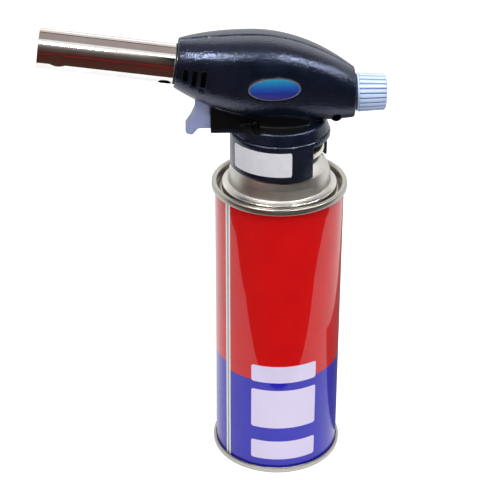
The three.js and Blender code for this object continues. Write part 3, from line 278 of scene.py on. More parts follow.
class Look:  # the nodes of one material or world
    def __init__(self, owner):
        owner.use_nodes = True
        self.owner, self.tree = owner, owner.node_tree
        self.principled = self.tree.nodes.get("Principled BSDF")  # none in a world

    def feed(self, node, sockets):
        for key, value in sockets.items():
            socket = node.inputs[key]
            if isinstance(value, Value):
                self.tree.links.new(value.socket, socket)
            else:
                socket.default_value = colour(*value) if socket.type == "RGBA" else value

    def node(self, kind, sockets=None, output=0, **settings):
        made = self.tree.nodes.new("ShaderNode" + kind)
        for key, setting in settings.items():
            setattr(made, key, setting)
        self.feed(made, sockets or {})
        return Value(self, made.outputs[output])

    def place(self, origin=canAxis, turn=(0, 0, 0), stretch=(1, 1, 1)):  # mm from an origin
        return self.node("Mapping", {"Vector": self.node("TexCoord", output="Object"), "Location": origin,
                                     "Rotation": turn, "Scale": tuple(mm * s for s in stretch)},
                         vector_type="TEXTURE")

    def parts(self, vector):
        made = self.node("SeparateXYZ", {0: vector})
        return [Value(self, socket) for socket in made.socket.node.outputs]

    def noise(self, vector, scale, detail=2.0, rough=0.5):
        return self.node("TexNoise", {"Vector": vector, "Scale": scale, "Detail": detail, "Roughness": rough})

    def spread(self, value, low, high, outLow=0.0, outHigh=1.0):
        return self.node("MapRange", {"Value": value, "From Min": low, "From Max": high,
                                      "To Min": outLow, "To Max": outHigh}, interpolation_type="SMOOTHSTEP")

    def fade(self, value, low, high):  # on below low, off above high
        return self.spread(value, low, high, 1.0, 0.0)

    def within(self, value, limit, soft):
        return self.fade(value, limit - soft, limit + soft)

    def vary(self, noise, low, high):  # the noise's usual range spread over these values
        return self.spread(noise, 0.3, 0.7, low, high)

    def length(self, first, second):
        return (first * first + second * second).math("SQRT")

    def mix(self, factor, first, second):
        return self.node("Mix", {0: factor, 6: first, 7: second}, output=2, data_type="RGBA")

    def clouded(self, cloud, first, second, edge=0.3):
        return self.mix(self.spread(cloud, edge, 1 - edge), first, second)

    def ramp(self, value, *stops):  # each a place from 0 to 1 and its colour
        made = self.node("ValToRGB", {0: value})
        elements = made.socket.node.color_ramp.elements
        while len(elements) < len(stops):
            elements.new(0.5)
        for element, (place, tone) in zip(elements, stops):
            element.position, element.color = place, colour(*tone)
        return made

    def bump(self, height, distance):
        return self.node("Bump", {"Height": height, "Distance": distance, "Strength": 1.0})

    def own(self):
        return Value(self, self.principled.outputs[0])

    def done(self, **sockets):
        names = {"baseColor": "Base Color", "coat": "Coat Weight", "coatRoughness": "Coat Roughness",
                 "specular": "Specular IOR Level", "glossTint": "Specular Tint"}
        named = {names.get(key, key.capitalize()): value for key, value in sockets.items()}
        self.feed(self.principled, named)
        return self.owner

    def surface(self, shader):
        self.feed(self.tree.nodes["Material Output"], {"Surface": shader})
        return self.owner


def newLook(name):
    return Look(bpy.data.materials.new(name))


def grainedPlastic(name, dark, light, grain, roughness, depth, detail=3.0, shade=None, **extra):
    look = newLook(name)
    spot = look.place()
    fine = look.noise(spot, grain, detail, 0.6)
    broad = look.noise(spot, 0.12)
    rough = look.vary(fine * 0.7 + broad * 0.3, roughness - 0.05, roughness + 0.06)
    normal = look.bump(fine, depth)
    material = look.done(baseColor=look.clouded(broad, dark, light), roughness=rough, normal=normal, **extra)
    if shade:  # painted shade: a dull black where its mask is on
        paintedShadeBsdf = look.node("BsdfPrincipled", {"Base Color": (9, 10, 13), "Roughness": 0.5,
                                            "Specular IOR Level": 0.12, "Normal": normal})
        look.surface(look.node("MixShader", {0: shade(look, spot), 1: look.own(), 2: paintedShadeBsdf}))
    return material


def plainMetal(name, dark, light, roughness, stretch=(1, 1, 1), streak=3.0):
    look = newLook(name)
    marks = look.noise(look.place(stretch=stretch), streak, 4.0, 0.6)
    cloud = look.noise(look.place(), 0.15, 3.0)
    rough = look.vary(marks, roughness * 0.75, roughness * 1.35)
    return look.done(baseColor=look.clouded(cloud, dark, light, 0.35), metallic=1.0, roughness=rough,
                     normal=look.bump(marks, 4e-6))


navy = {"name": "navyPlastic", "dark": (12, 17, 29), "light": (16, 22, 37), "grain": 1.4, "detail": 0.5,
        "roughness": 0.2, "depth": 2.0e-4, "specular": 0.75, "glossTint": (203, 218, 255)}
navyPlastic = grainedPlastic(**navy)
lilacPlastic = grainedPlastic("lilacPlastic", (148, 157, 202), (155, 164, 206), 1.2, 0.42, 4e-6)
knobPlastic = grainedPlastic("knobPlastic", (180, 197, 230), (187, 204, 233), 1.2, 0.4, 4e-6)
blackPlastic = grainedPlastic("blackPlastic", (22, 22, 24), (34, 34, 37), 1.5, 0.45, 1e-5)
naturalPlastic = grainedPlastic("naturalPlastic", (214, 210, 198), (230, 227, 217), 1.0, 0.4, 5e-6)
blackRubber = grainedPlastic("blackRubber", (24, 24, 24), (40, 40, 39), 3.0, 0.7, 1.5e-5)
glazedCeramic = grainedPlastic("glazedCeramic", (222, 214, 196), (238, 232, 218), 0.8, 0.22, 3e-6)
brass = plainMetal("brass", (196, 158, 84), (214, 180, 104), 0.28, (1, 1, 0.2), 4.0)
copper = plainMetal("copper", (196, 118, 82), (214, 140, 100), 0.25, (0.3, 1, 1), 4.0)
springSteel = plainMetal("springSteel", (160, 160, 162), (186, 186, 188), 0.3)
screwSteel = plainMetal("screwSteel", (52, 52, 55), (74, 74, 78), 0.38, (1, 1, 1), 5.0)
print("plain finishes made")


# cartridge: lacquered tube with a bare side seam, and two rolled ends

can = {"radius": canHighCorner.x / mm - canAxis.x / mm, "wall": 0.5, "low": canLowCorner.z / mm,
       "high": canHighCorner.z / mm, "sides": 180,
       "seamAngle": -144.6, "seamWhite": 3.0, "seamBare": 1.2,  # degrees, half widths
       "blueTop": 57.6, "blueRise": 0.0103, "blueSoft": 0.12,  # height at the seam, its rise per degree
       "panelAngle": -86.3, "panelHalf": 17.7, "panelCorner": 1.3,
       "panels": ((57.0, 67.1), (28.3, 52.2), (8.0, 19.7))}


def lacquer():
    look = newLook("canLacquer")
    spot = look.place()
    x, y, z = look.parts(spot)
    angle = y.math("ARCTAN2", x) * degrees(1)
    fromSeam = (angle + (360 - can["seamAngle"])).math("MODULO", 360)
    aside = abs((fromSeam + 180).math("MODULO", 360) - 180)  # from the seam, either way
    cloud = look.noise(spot, 0.05)
    red = look.clouded(cloud, (206, 9, 11), (213, 12, 13))
    blue = look.clouded(cloud, (42, 38, 178), (48, 44, 186))
    overBlue = z - (fromSeam * can["blueRise"] + can["blueTop"])
    paint = look.mix(look.spread(overBlue, -can["blueSoft"], can["blueSoft"]), blue, red)
    corner = can["panelCorner"]
    across = abs(angle - can["panelAngle"]) * (radians(1) * can["radius"])
    sideways = (across - (can["panelHalf"] - corner)).atLeast(0)
    for low, high in can["panels"]:
        upright = (abs(z - (low + high) / 2) - ((high - low) / 2 - corner)).atLeast(0)
        paint = look.mix(look.within(look.length(sideways, upright), corner, 0.1), paint, (224, 215, 244))
    white = look.within(aside, can["seamWhite"], 0.2)
    bare = look.within(aside, can["seamBare"], 0.15)
    paint = look.mix(bare, look.mix(white, paint, (252, 252, 253)), (160, 162, 156))
    lap = look.fade(aside, 0.1, 0.5)
    return look.done(baseColor=paint, metallic=bare * 0.3, specular=0.05, coat=0.75 - bare * 0.6,
                     roughness=look.vary(look.noise(spot, 0.35), 0.28, 0.32), coatRoughness=0.03,
                     normal=look.bump(lap - white * 0.25, 5e-5))


tube = sector(can["radius"] - can["wall"], can["radius"], 0, 360, can["low"], can["high"], can["sides"])
piece(tube, "canTube", "canister", lacquer(), "can_body")

ends = {"sheet": 0.6, "hookIn": 0.3, "chimeReach": 1.5999, "chimeDepth": 3.3, "crest": 1.3, "roof": 1.0,
        "sunk": 4.2, "sunkWidth": 1.7, "ledge": 3.2, "ledgeRise": 0.5, "domeRadius": 26.0, "domeTop": 25.4,
        "wallRise": 5.0, "shoulderRise": 6.6, "shoulderIn": 3.4, "neck": 20.2, "grooveRise": 1.9,
        "bowl": 9.0, "bowlShares": ((0.72, 0.42, 14), (0.3, 0.93, 10))}  # shares of its radius and rise
crest = can["high"] + ends["crest"]  # of the top chime
chuck = can["radius"] - can["wall"] - ends["hookIn"]
hook = can["radius"] + ends["hookIn"]


def chime(crestHeight, up):  # hook, crest and countersink wall of a rolled seam
    out, foot, sunk = (can["radius"] + ends["chimeReach"], crestHeight - up * ends["chimeDepth"],
                       crestHeight - up * ends["sunk"])
    return [(hook, foot, 0.2), (out, foot, 1.1), (out, crestHeight, 1.6), (chuck - 0.1, crestHeight, 1.1),
            (chuck - 2 * ends["sheet"], sunk, 0.7)]


def canTop():
    sheet, slope, neck = ends["sheet"], ends["shoulderIn"], ends["neck"]
    dome, domeTop, ledge = ends["domeRadius"], ends["domeTop"], ends["domeRadius"] + ends["ledge"]
    sunkIn, sunkFloor = chuck - 2 * sheet - ends["sunkWidth"], crest - ends["sunk"]
    ledgeTop = crest + ends["ledgeRise"]
    shoulderFoot = ledgeTop + ends["wallRise"]
    shoulderTop = shoulderFoot + ends["shoulderRise"]
    bendIn, bend = domeTop - 0.35 * slope, shoulderFoot + 0.6 * ends["shoulderRise"]
    grooveTop, neckTop = shoulderTop + ends["grooveRise"], nodeBox("can_dome")[1].z
    roof = crest - ends["roof"]
    upper = [(sunkIn, sunkFloor, 0.6), (ledge, ledgeTop - 2 * sheet, 0.9), (dome, ledgeTop, 0.6),
             (domeTop, shoulderFoot, 5.0), (bendIn, bend, 4.0), (domeTop - slope, shoulderTop, 0.6),
             (neck, grooveTop, 0.8), (neck, neckTop)]
    under = [(neck - sheet, neckTop), (neck - sheet, grooveTop), (domeTop - slope - sheet, shoulderTop - 0.4),
             (bendIn - sheet, bend - 0.3), (domeTop - sheet, shoulderFoot - 0.2),
             (dome - sheet, ledgeTop - sheet), (ledge - 0.2, ledgeTop - 3 * sheet),
             (sunkIn + 0.2, sunkFloor - sheet), (chuck - sheet, sunkFloor - sheet), (chuck, roof),
             (hook, roof)]
    return turned(chime(crest, 1) + upper + under, can["sides"])


def canBase():  # its floor bowls up
    sheet, sunk = ends["sheet"], ends["sunk"]
    foot = chuck - 2 * sheet
    bowl = [(foot * out, sunk + ends["bowl"] * rise, soft) for out, rise, soft in ends["bowlShares"]]
    bowl.append((0, sunk + ends["bowl"]))
    inside = [(r, z + sheet, *soft) for r, z, *soft in reversed(bowl)]
    inside += [(chuck - sheet, sunk + sheet), (chuck, ends["roof"]), (hook, ends["roof"])]
    return turned(inside + chime(0, -1) + bowl, can["sides"], closed=False)


# where the tin's painted shade, painted bead highlight and darker rolled seams lie, and its roughness zones
tin = {"cup": 20.7, "cupDeep": (7, 6), "beadIn": 21.5, "crease": 4.2, "beadHighlight": (3, 2.8), "sunkIn": 1.6,
       "sunkDrop": 3.6, "glossy": (26.6, 28.6), "rolled": (29.6, 30.2), "hook": (33.0, 33.8)}


def tinLook():  # satin dome; rolled seams painted darker in place of dim reflections, a painted highlight on the bead's top, and painted shade in the countersink, the cup and under the bead
    look = newLook("tinPlate")
    spot = look.place()
    x, y, z = look.parts(spot)
    marks = look.noise(look.place(stretch=(1, 1, 0.12)), 1.2, 4.0, 0.6)
    out = look.length(x, y)
    tone = look.clouded(look.noise(spot, 0.15, 3.0), (210, 207, 200), (219, 216, 210), 0.35)
    # rolled seams painted darker, standing in for their dim reflections
    tone = look.mix(look.spread(out, *tin["rolled"]), tone, (178, 175, 167))
    # painted highlight: the bead's top painted pale
    tone = look.mix(look.spread(z, *(beadTop - drop for drop in tin["beadHighlight"])), tone, (240, 235, 222))
    # painted shade: a dark ring in the countersink
    sunk = look.fade(abs(out - (chuck - tin["sunkIn"])), 0.5, 0.9)
    sunk = sunk * look.fade(abs(z - (crest - tin["sunkDrop"])), 0.9, 1.5)
    # painted shade: near-black inside the cup and in the crease under the bead
    cupShade = look.within(out, tin["cup"], 0.1) * look.spread(z, *(beadTop - drop for drop in tin["cupDeep"]))
    beadShade = look.within(out, tin["beadIn"], 0.1) * look.fade(abs(z - (beadTop - tin["crease"])), 1.0, 1.6)
    tone = look.mix(cupShade.atLeast(beadShade), look.mix(sunk, tone, (96, 93, 86)), (34, 33, 31))
    rough = look.vary(marks, 0.38, 0.44) - look.spread(out, *tin["glossy"]) * 0.19
    return look.done(baseColor=tone, metallic=1.0, roughness=rough + look.spread(out, *tin["hook"]) * 0.14,
                     normal=look.bump(marks, 3e-7))


tinPlate = tinLook()
piece(canTop(), "canTop", "canister", tinPlate, "can_dome")
piece(canBase(), "canBase", "canister", tinPlate, "can_bottom")

rim = {"bead": 22.1, "beadHeight": 3.9, "roll": 2.6, "groove": 0.9, "pan": 18.6, "panDepth": 5.4,
       "pedestal": 7.6, "drop": 0.4, "sheet": 0.6, "hole": 2.4, "notchFrom": 20.5, "notchTurn": 30,
       "notchHalf": 12, "sides": 120}
lugs = {"places": (26, 146, 266), "half": 9, "inner": 20.6, "thick": 1.6, "below": 4.2, "bite": 0.6}


def rimCup():
    top, low = beadTop, beadTop - rim["beadHeight"]
    floor, table = beadTop - rim["panDepth"], beadTop - rim["drop"]
    hole, pedestal, pan, bead = (rim[key] for key in ("hole", "pedestal", "pan", "bead"))
    sheet, rollFoot, groove = rim["sheet"], top - rim["roll"], bead - rim["groove"]
    cup = turned([(hole, table, 0.2), (pedestal, table, 0.8), (pedestal, floor, 0.5), (pan, floor, 1.0),
                  (pan, top, 0.8), (pan + 1.4, top, 0.3), (pan + 1.6, top - 0.5, 0.2),
                  (pan + 2.0, top - 0.1, 0.3), (bead, top - 0.1, 1.2), (bead, rollFoot, 1.0),
                  (groove, rollFoot, 0.2), (groove, low), (pan + sheet, low),
                  (pan + sheet, floor - sheet, 0.5), (pedestal - sheet, floor - sheet),
                  (pedestal - sheet, table - sheet), (hole, table - sheet)], rim["sides"])
    middles = [place + rim["notchTurn"] for place in lugs["places"]]
    notches = [sector(rim["notchFrom"], farOut, middle - rim["notchHalf"], middle + rim["notchHalf"],
                      low - 1, top + 1, 8) for middle in middles]
    return broken(cut(cup, *notches), 0.2)


piece(rimCup(), "rimCup", "canister", tinPlate, "mounting_cup")
print("cartridge made")


# collar: bayonet skirt with a window, its lugs and a bare label

collar = {"skirt": 23.8, "outer": 25.1, "plate": 2.5, "hole": 5.6, "hub": 14.5, "hubWall": 2.5, "lip": 1.5,
          "lipThick": 1.2, "edge": 1.8, "windowFrom": -52.5, "windowTo": 14.5, "windowOver": 5.6,
          "recess": 0.45, "sides": 160}
label = {"from": -155.5, "to": -78.8, "height": 12.7, "below": 2.9, "thick": 0.3, "corner": 1.6, "steps": 60}
labelTop = discFoot - seatGap - label["below"]


def collarShell():
    low, hubTop = collarLow.z, collarHigh.z
    hole, skirt, outer, hub = (collar[key] for key in ("hole", "skirt", "outer", "hub"))
    plateTop = discFoot - seatGap + discRise
    plateFoot, hubIn = plateTop - collar["plate"], hub - collar["hubWall"]
    lip, lipFoot = hub + collar["lip"], hubTop - collar["lipThick"]
    shell = turned([(hole, plateFoot), (skirt, plateFoot, 0.8), (skirt, low, 0.3), (outer, low, 0.4),
                    (outer, plateTop, collar["edge"]), (hub, plateTop), (hub, lipFoot), (lip, lipFoot, 0.3),
                    (lip, hubTop, 0.5), (hubIn, hubTop), (hubIn, plateTop), (hole, plateTop)],
                   collar["sides"])
    lugTop, half = beadTop - lugs["below"], lugs["half"]
    bites = [sector(lugs["inner"], skirt + lugs["bite"], place - half, place + half,
                    lugTop - lugs["thick"], lugTop, 8) for place in lugs["places"]]
    window = sector(hub, farOut, collar["windowFrom"], collar["windowTo"], low - 2,
                    beadTop + collar["windowOver"], 30)
    recess = sector(outer - collar["recess"], farOut, label["from"], label["to"],
                    labelTop - label["height"] - seatGap, labelTop + seatGap, label["steps"])
    return broken(cut(join(shell, *bites), window, recess), 0.3)


def labelPlate():
    inner = collar["outer"] - collar["recess"] + seatGap
    margin = degrees(seatGap / inner)
    sides = label["from"] + margin, label["to"] - margin
    bm = sector(inner, inner + label["thick"], *sides, labelTop - label["height"], labelTop, label["steps"])
    facings = [Vector((cos(radians(side)), sin(radians(side)))) for side in sides]
    corners = []
    for edge in bm.edges:  # the four short edges through the plate at its corners
        first, last = (vert.co.xy for vert in edge.verts)
        across = abs(first.length - last.length) > 0.9 * label["thick"]
        if across and any((first.normalized() - facing).length < 1e-3 for facing in facings):
            corners.append(edge)
    roundEdges(bm, corners, label["corner"], 6)
    return bm


def paper():
    look = newLook("paperLabel")
    spot = look.place()
    fibre = look.noise(spot, 3.0, 4.0, 0.65)
    return look.done(baseColor=look.clouded(look.noise(spot, 0.2), (216, 215, 222), (221, 220, 227)),
                     roughness=look.vary(fibre, 0.36, 0.46), normal=look.bump(fibre, 8e-7), coat=0.25,
                     coatRoughness=0.2)


piece(collarShell(), "collarShell", "head", navyPlastic, "collar")
piece(labelPlate(), "labelPlate", "head", paper(), "collar_label")
print("collar made")


# housing: two moulded halves on a disc, with vents, screw recesses and the badge's seat

body = {"front": -51.1, "rear": 36.5, "belly": discFoot + 4.9, "height": 43.8, "halfWidth": 19.4,
        "fullness": 1.2, "apexX": -15.0, "bellyX": 24.0, "widestX": -12.0, "frontRound": 12.3,
        "rearRound": 12.2, "tubeAxis": discFoot + 34.1, "pitch": 8.0, "knobAxis": discFoot + 18.0,
        "wall": 2.0, "frontWall": 3.5, "rearEdge": 0.8, "rearDome": 0.3, "rings": 60, "segments": 96,
        "disc": 22.4, "discBase": 24.5, "discHeight": 5.3, "discEdge": 1.5, "discSunk": 0.25,
        "neckLong": 42.0, "neckWide": 29.0, "neckFootLong": 44.5, "neckFootWide": 30.0, "neckFlare": 6.0,
        "blockFront": -34.7, "blockRear": -14.0, "blockHalf": 10.0, "blockFoot": discFoot + 1.2,
        "blockWall": 2.1, "blockFloor": 0.8, "blockCorner": 4.0, "partGap": 0.2, "lineHalf": 0.7,
        "lineDeep": 0.5, "mouthGap": 1.1, "mouthDeep": 2.5, "voxel": 0.43, "soften": 3}
body["apex"] = body["belly"] + body["height"]
body["discTop"] = discFoot + discRise + body["discHeight"]
burner = Matrix.Translation((body["front"], 0, body["tubeAxis"])) @ turnBy(body["pitch"] - 90, "Y")
knobLine = Matrix.Translation((0, 0, body["knobAxis"])) @ turnBy(90, "Y")
vents = {"count": 3, "width": 2.3, "pitch": 4.2, "first": 4.9, "length": 6.8, "growth": 2.2}
badge = {"x": -4.0, "z": discFoot + 28.1, "long": 25.4, "short": 11.4, "thick": 1.0, "proud": 0.4}
screws = ({"name": "neckScrew", "node": "housing_screw_neck", "x": -12.9, "z": body["belly"] + 1.2,
           "seat": 10.2},
          {"name": "rearScrew", "node": "housing_screw_rear", "x": 27.0, "z": body["belly"] + 4.2,
           "seat": 4.5})
screwForm = {"shank": 1.4, "point": 1.4, "head": 1.8, "headHigh": 1.8, "long": 14.0, "slotDeep": 0.9,
             "slotHalf": 0.35, "slotReach": 1.4, "bore": 2.0, "boss": 3.0, "bossHalf": 9.0}
flame = {"radius": 9.9, "wall": 0.7, "reach": 66.6, "inside": 17.0, "rimWide": 1.5, "rimThick": 1.2,
         "stop": 1.2, "slotLong": 6.2, "slotWide": 5.0, "slotPlace": 4.6, "slotAngle": 41, "dimpleFrom": 10.0,
         "dimples": 3, "dimpleRadius": 4.2, "dimpleDepth": 0.6, "dimpleAngle": 99, "dimpleRows": 28,
         "plainRow": 30, "sides": 180}
slide = {"half": 7.4, "front": -42.6, "back": -25.6, "top": body["belly"] + 13.6, "railHalf": 8.7,
         "railFront": -33.4, "railZ": body["belly"] + 3.2, "railHigh": 1.6}
room = {"valve": 6.8, "valveFrom": -9.3, "valveTo": 26.3, "inlet": 6.5, "spindle": 3.2, "spindleFrom": 20,
        "piezoFrom": -34.5, "piezoTo": -9.5, "piezoHalf": 4.8, "piezoLow": body["belly"] + 5.1,
        "piezoHigh": body["belly"] + 14.7, "hub": 14.8, "hubLip": 16.3, "hubFloor": collarHigh.z - 1.6}
ribs = {"thick": 2, "valve": (-7.7, 20.0), "valveTop": 2, "piezo": (-22.5, -16.5), "piezoTop": 9.9}


def share(x, start, end):
    return (x - start) / (end - start)


def bowed(x, middle, peak, front, rear, frontPower=2):  # from its peak, eased to each end's own value
    if x < middle:
        return peak + (front - peak) * share(x, middle, body["front"]) ** frontPower
    return peak + (rear - peak) * share(x, middle, body["rear"]) ** 2


def topAt(x):
    return bowed(x, body["apexX"], body["apex"], body["tubeAxis"] + body["frontRound"],
                 body["knobAxis"] + body["rearRound"])


def bottomAt(x):
    return bowed(x, body["bellyX"], body["belly"], body["tubeAxis"] - body["frontRound"],
                 body["knobAxis"] - body["rearRound"], 3)


def halfWidthAt(x):
    return bowed(x, body["widestX"], body["halfWidth"], body["frontRound"], body["rearRound"])


def fullnessAt(x):  # 2 is a plain ellipse
    end = body["front"] if x < body["widestX"] else body["rear"]
    return 2 + body["fullness"] * max(0, 1 - share(x, body["widestX"], end) ** 4)


def bodyRing(x, inset=0.0, shrink=1.0, at=None):
    middle, half = (topAt(x) + bottomAt(x)) / 2, (topAt(x) - bottomAt(x)) / 2 - inset
    size = Matrix.Diagonal((1, (halfWidthAt(x) - inset) * shrink, half * shrink, 1))
    return Matrix.Translation((x if at is None else at, 0, middle)) @ size @ turnBy(90, "Y")


def bodyLoft(inset, front, rear, rings, segments, rounded=False):
    last = rear - body["rearEdge"] - body["rearDome"] if rounded else rear
    spots = [front + (last - front) * i / rings for i in range(rings + 1)]
    places = [bodyRing(x, inset) for x in spots]
    if rounded:
        for k in range(1, 7):  # rounded rear edge, then a low dome
            turn = radians(15 * k)
            shrink = 1 - body["rearEdge"] * (1 - cos(turn)) / body["rearRound"]
            places.append(bodyRing(last, inset, shrink, last + body["rearEdge"] * sin(turn)))
        edge = 1 - body["rearEdge"] / body["rearRound"]
        for part in (0.75, 0.5, 0.25, 0.04):
            places.append(bodyRing(last, inset, edge * part, rear - body["rearDome"] * part ** 2))
    spots += [last] * (len(places) - len(spots))
    return loft(places, segments, [fullnessAt(x) for x in spots])


def bodyInset(inset, rings=60, segments=84, front=body["front"]):
    return bodyLoft(inset, front, body["rear"], rings, segments)


def upright(long, wide, low, high):  # an oval post
    bm = rod(0.5, low, high, 72)
    bmesh.ops.scale(bm, vec=(long, wide, 1), verts=bm.verts)
    return bm


def sideways(spot):  # own Z runs to -Y
    return Matrix.Translation((spot["x"], 0, spot["z"])) @ turnBy(90, "X")


def badgePrism(margin):
    prism = upright(badge["long"] + 2 * margin, badge["short"] + 2 * margin, body["halfWidth"] / 2,
                    2 * body["halfWidth"])
    return put(prism, sideways(badge))


def ventCutters():
    cutters = []
    wide = vents["width"] / 2
    for i in range(vents["count"]):
        half, sink = (vents["length"] + vents["growth"] * i) / 2, vents["growth"] / 4 * i
        out = -vents["first"] - vents["pitch"] * i
        for near in (-1, 1):
            start, end = sorted((near * (flame["radius"] + seatGap), near * 2 * body["halfWidth"]))
            cutters.append(brick((-half - sink, start, out - wide), (half - sink, end, out + wide),
                                 burner, bevel=0.999 * wide, along=1))
    return cutters


def blockBody(inset, low, high):  # the trigger's block, with its rear corners rounded
    bm = brick((body["blockFront"] + inset, inset - body["blockHalf"], low),
               (body["blockRear"] - inset, body["blockHalf"] - inset, high))
    rear = [edge for edge in bm.edges
            if all(abs(vert.co.x - body["blockRear"] + inset) < 0.01 for vert in edge.verts)
            and abs(edge.verts[0].co.z - edge.verts[1].co.z) > 1]
    roundEdges(bm, rear, body["blockCorner"] - inset, 8)
    return bm


def neckFoot():  # concave flare from the disc up into the neck
    turns = [radians(15 * k) for k in range(7)]
    places = []
    for rise, out in [(-0.6, 1.0)] + [(body["neckFlare"] * (1 - cos(turn)), 1 - sin(turn)) for turn in turns]:
        long = body["neckLong"] + out * (body["neckFootLong"] - body["neckLong"])
        wide = body["neckWide"] + out * (body["neckFootWide"] - body["neckWide"])
        spot = Matrix.Translation((0, 0, body["discTop"] + rise))
        places.append(spot @ Matrix.Diagonal((long / 2, wide / 2, 1, 1)))
    return loft(places, 72)


def housingRibs(blockTop):
    half, made = body["wall"] / 2, []

    def inside():
        return bodyLoft(half, body["front"] + body["frontWall"] / 2, body["rear"] - half, 24, 48)

    def wallAt(x, top):
        return brick((x - ribs["thick"] / 2, -60, body["blockFoot"]), (x + ribs["thick"] / 2, 60, top))

    rimRear = -flame["inside"] - flame["rimThick"]
    for out in (-flame["inside"] + seatGap, rimRear - ribs["thick"] - seatGap):
        made.append(common(brick((-60, -60, out), (60, 60, out + ribs["thick"]), burner), inside()))
    for x in ribs["valve"]:
        made.append(common(wallAt(x, body["knobAxis"] + ribs["valveTop"]), inside()))
    for x in ribs["piezo"]:
        hollow = join(inside(), blockBody(body["blockWall"] / 2, body["blockFoot"] + 1, blockTop))
        made.append(common(wallAt(x, body["belly"] + ribs["piezoTop"]), hollow))
    reach = screwForm["bossHalf"]
    return made + [rod(screwForm["boss"], -reach, reach, 32, sideways(screw)) for screw in screws]


def housingCuts():
    tubeOut, inside = flame["radius"], flame["inside"]
    line = brick((-60, -body["lineHalf"], 180), (body["rear"] - 1, body["lineHalf"], 260))
    cuts = [cut(line, bodyInset(body["lineDeep"], front=body["front"] - 20)),  # parting line
            rod(tubeOut + seatGap, -inside, 90, 72, burner),
            rod(tubeOut + body["mouthGap"], -body["mouthDeep"], 90, 72, burner),
            rod(tubeOut - flame["wall"] - flame["stop"], -2 * inside, 0, 48, burner),
            rod(tubeOut + flame["rimWide"] + seatGap, -inside - flame["rimThick"] - seatGap,
                -inside + seatGap, 72, burner),
            brick((-90, -90, 0), (90, 90, 90), burner),
            rod(room["valve"], room["valveFrom"], room["valveTo"], 48, knobLine),
            rod(room["inlet"], discFoot - 1, body["knobAxis"], 48),
            rod(room["spindle"], room["spindleFrom"], body["rear"] + 2, 32, knobLine),
            brick((slide["front"], -slide["half"], body["blockFoot"] + body["blockFloor"]),
                  (slide["back"], slide["half"], slide["top"])),
            brick((slide["railFront"], -slide["railHalf"], slide["railZ"] - slide["railHigh"]),
                  (slide["back"], slide["railHalf"], slide["railZ"] + slide["railHigh"])),
            brick((room["piezoFrom"], -room["piezoHalf"], room["piezoLow"]),
                  (room["piezoTo"], room["piezoHalf"], room["piezoHigh"])),
            rod(room["hub"], discFoot - 9, room["hubFloor"] + 0.6, 72),
            rod(room["hubLip"], room["hubFloor"], collarHigh.z + seatGap, 72)]
    for screw in screws:
        seat, side = screw["seat"], sideways(screw)
        cuts += [rod(screwForm["bore"], seat, farOut, 40, side),
                 rod(screwForm["shank"] + seatGap, seat - screwForm["long"] - seatGap, seat + 0.5, 32, side)]
    badgeSeat = cut(badgePrism(seatGap), bodyInset(badge["thick"] - badge["proud"] + seatGap))
    return cuts + ventCutters() + [badgeSeat]


def housingForm():
    blockTop, wall, discTop = body["belly"] + body["blockHalf"], body["wall"], body["discTop"]
    long, wide, foot = body["neckLong"], body["neckWide"], body["blockFoot"]
    discLow = discFoot + discRise - body["discSunk"]
    shell = asShape(bodyLoft(0, body["front"] - body["frontWall"], body["rear"], body["rings"],
                             body["segments"], True))
    disc = turned([(0, discLow), (body["discBase"], discLow, 0.2), (body["disc"], discTop, body["discEdge"]),
                   (0, discTop)], 120, closed=False)
    join(shell, disc, upright(long, wide, discFoot + 0.6, blockTop), neckFoot(), blockBody(0, foot, blockTop))
    cut(shell, bodyLoft(wall, body["front"] + body["frontWall"], body["rear"] - wall, 24, 48),
        upright(long - 2 * wall, wide - 2 * wall, room["hubFloor"], blockTop),
        blockBody(body["blockWall"], foot + body["blockWall"], blockTop))
    join(shell, *housingRibs(blockTop))
    return cut(shell, *housingCuts())


def neckPaintedShade(look, spot):  # painted shade under the body, down to the disc's top
    x, y, z = look.parts(spot)
    rise = body["tubeAxis"] - body["frontRound"] - body["belly"]
    under = ((body["bellyX"] - x).atLeast(0) / (body["bellyX"] - body["front"])) ** 3 * rise + body["belly"]
    curl = 1 - (1 - y * y / body["halfWidth"] ** 2).atLeast(0).math("SQRT")
    skin = under + curl * (body["height"] / 2 - 1)
    foot = look.spread(x, -12, -9, body["discTop"] - 2.5, body["discTop"] - 0.3)
    return look.spread(z - foot, 0.0, 0.3) * look.fade(z - skin, -0.8, -0.2) * look.fade(x, 11, 15)


housingPlastic = grainedPlastic(**navy | {"name": "housingPlastic", "shade": neckPaintedShade})
whole = housingForm()
print("housing cut", len(whole.data.polygons), "faces")
for name, near, node in (("housingNear", -1, "housing_near"), ("housingFar", 1, "housing_far")):
    half = bpy.data.objects.new(name, whole.data.copy())
    scene.collection.objects.link(half)
    start, end = sorted((-near * 90, near * body["partGap"]))
    cut(half, brick((-120, start, 0), (120, end, 400)))
    moulded(half, body["voxel"], body["soften"])
    piece(half, name, "head", housingPlastic, node, sharp=60)
    print(name, len(half.data.polygons), "faces")
bpy.data.objects.remove(whole)


def badgePlate():
    skin = cut(bodyInset(-badge["proud"], 90, 120), bodyInset(badge["thick"] - badge["proud"], 90, 120))
    return broken(common(skin, badgePrism(0)), 0.25, 3, 50)


def enamel():
    look = newLook("badgeEnamel")
    x, y, z = look.parts(look.place(origin=canAxis + Vector((badge["x"] * mm, 0, badge["z"] * mm))))
    rimMask = look.spread(look.length(x / (badge["long"] / 2), z / (badge["short"] / 2)), 0.935, 0.955)
    fill = look.ramp(z / badge["short"] + 0.5, (0.05, (44, 28, 120)), (0.35, (28, 44, 140)),
                     (0.6, (20, 84, 168)), (0.95, (24, 142, 176)))
    fleck = look.noise(look.place(), 5.0)
    return look.done(baseColor=look.mix(rimMask, fill, (176, 190, 204)), metallic=rimMask * 0.8,
                     roughness=look.vary(fleck, 0.2, 0.3), coat=0.8, coatRoughness=0.06,
                     normal=look.bump(rimMask + fleck * 0.04, 6e-5))


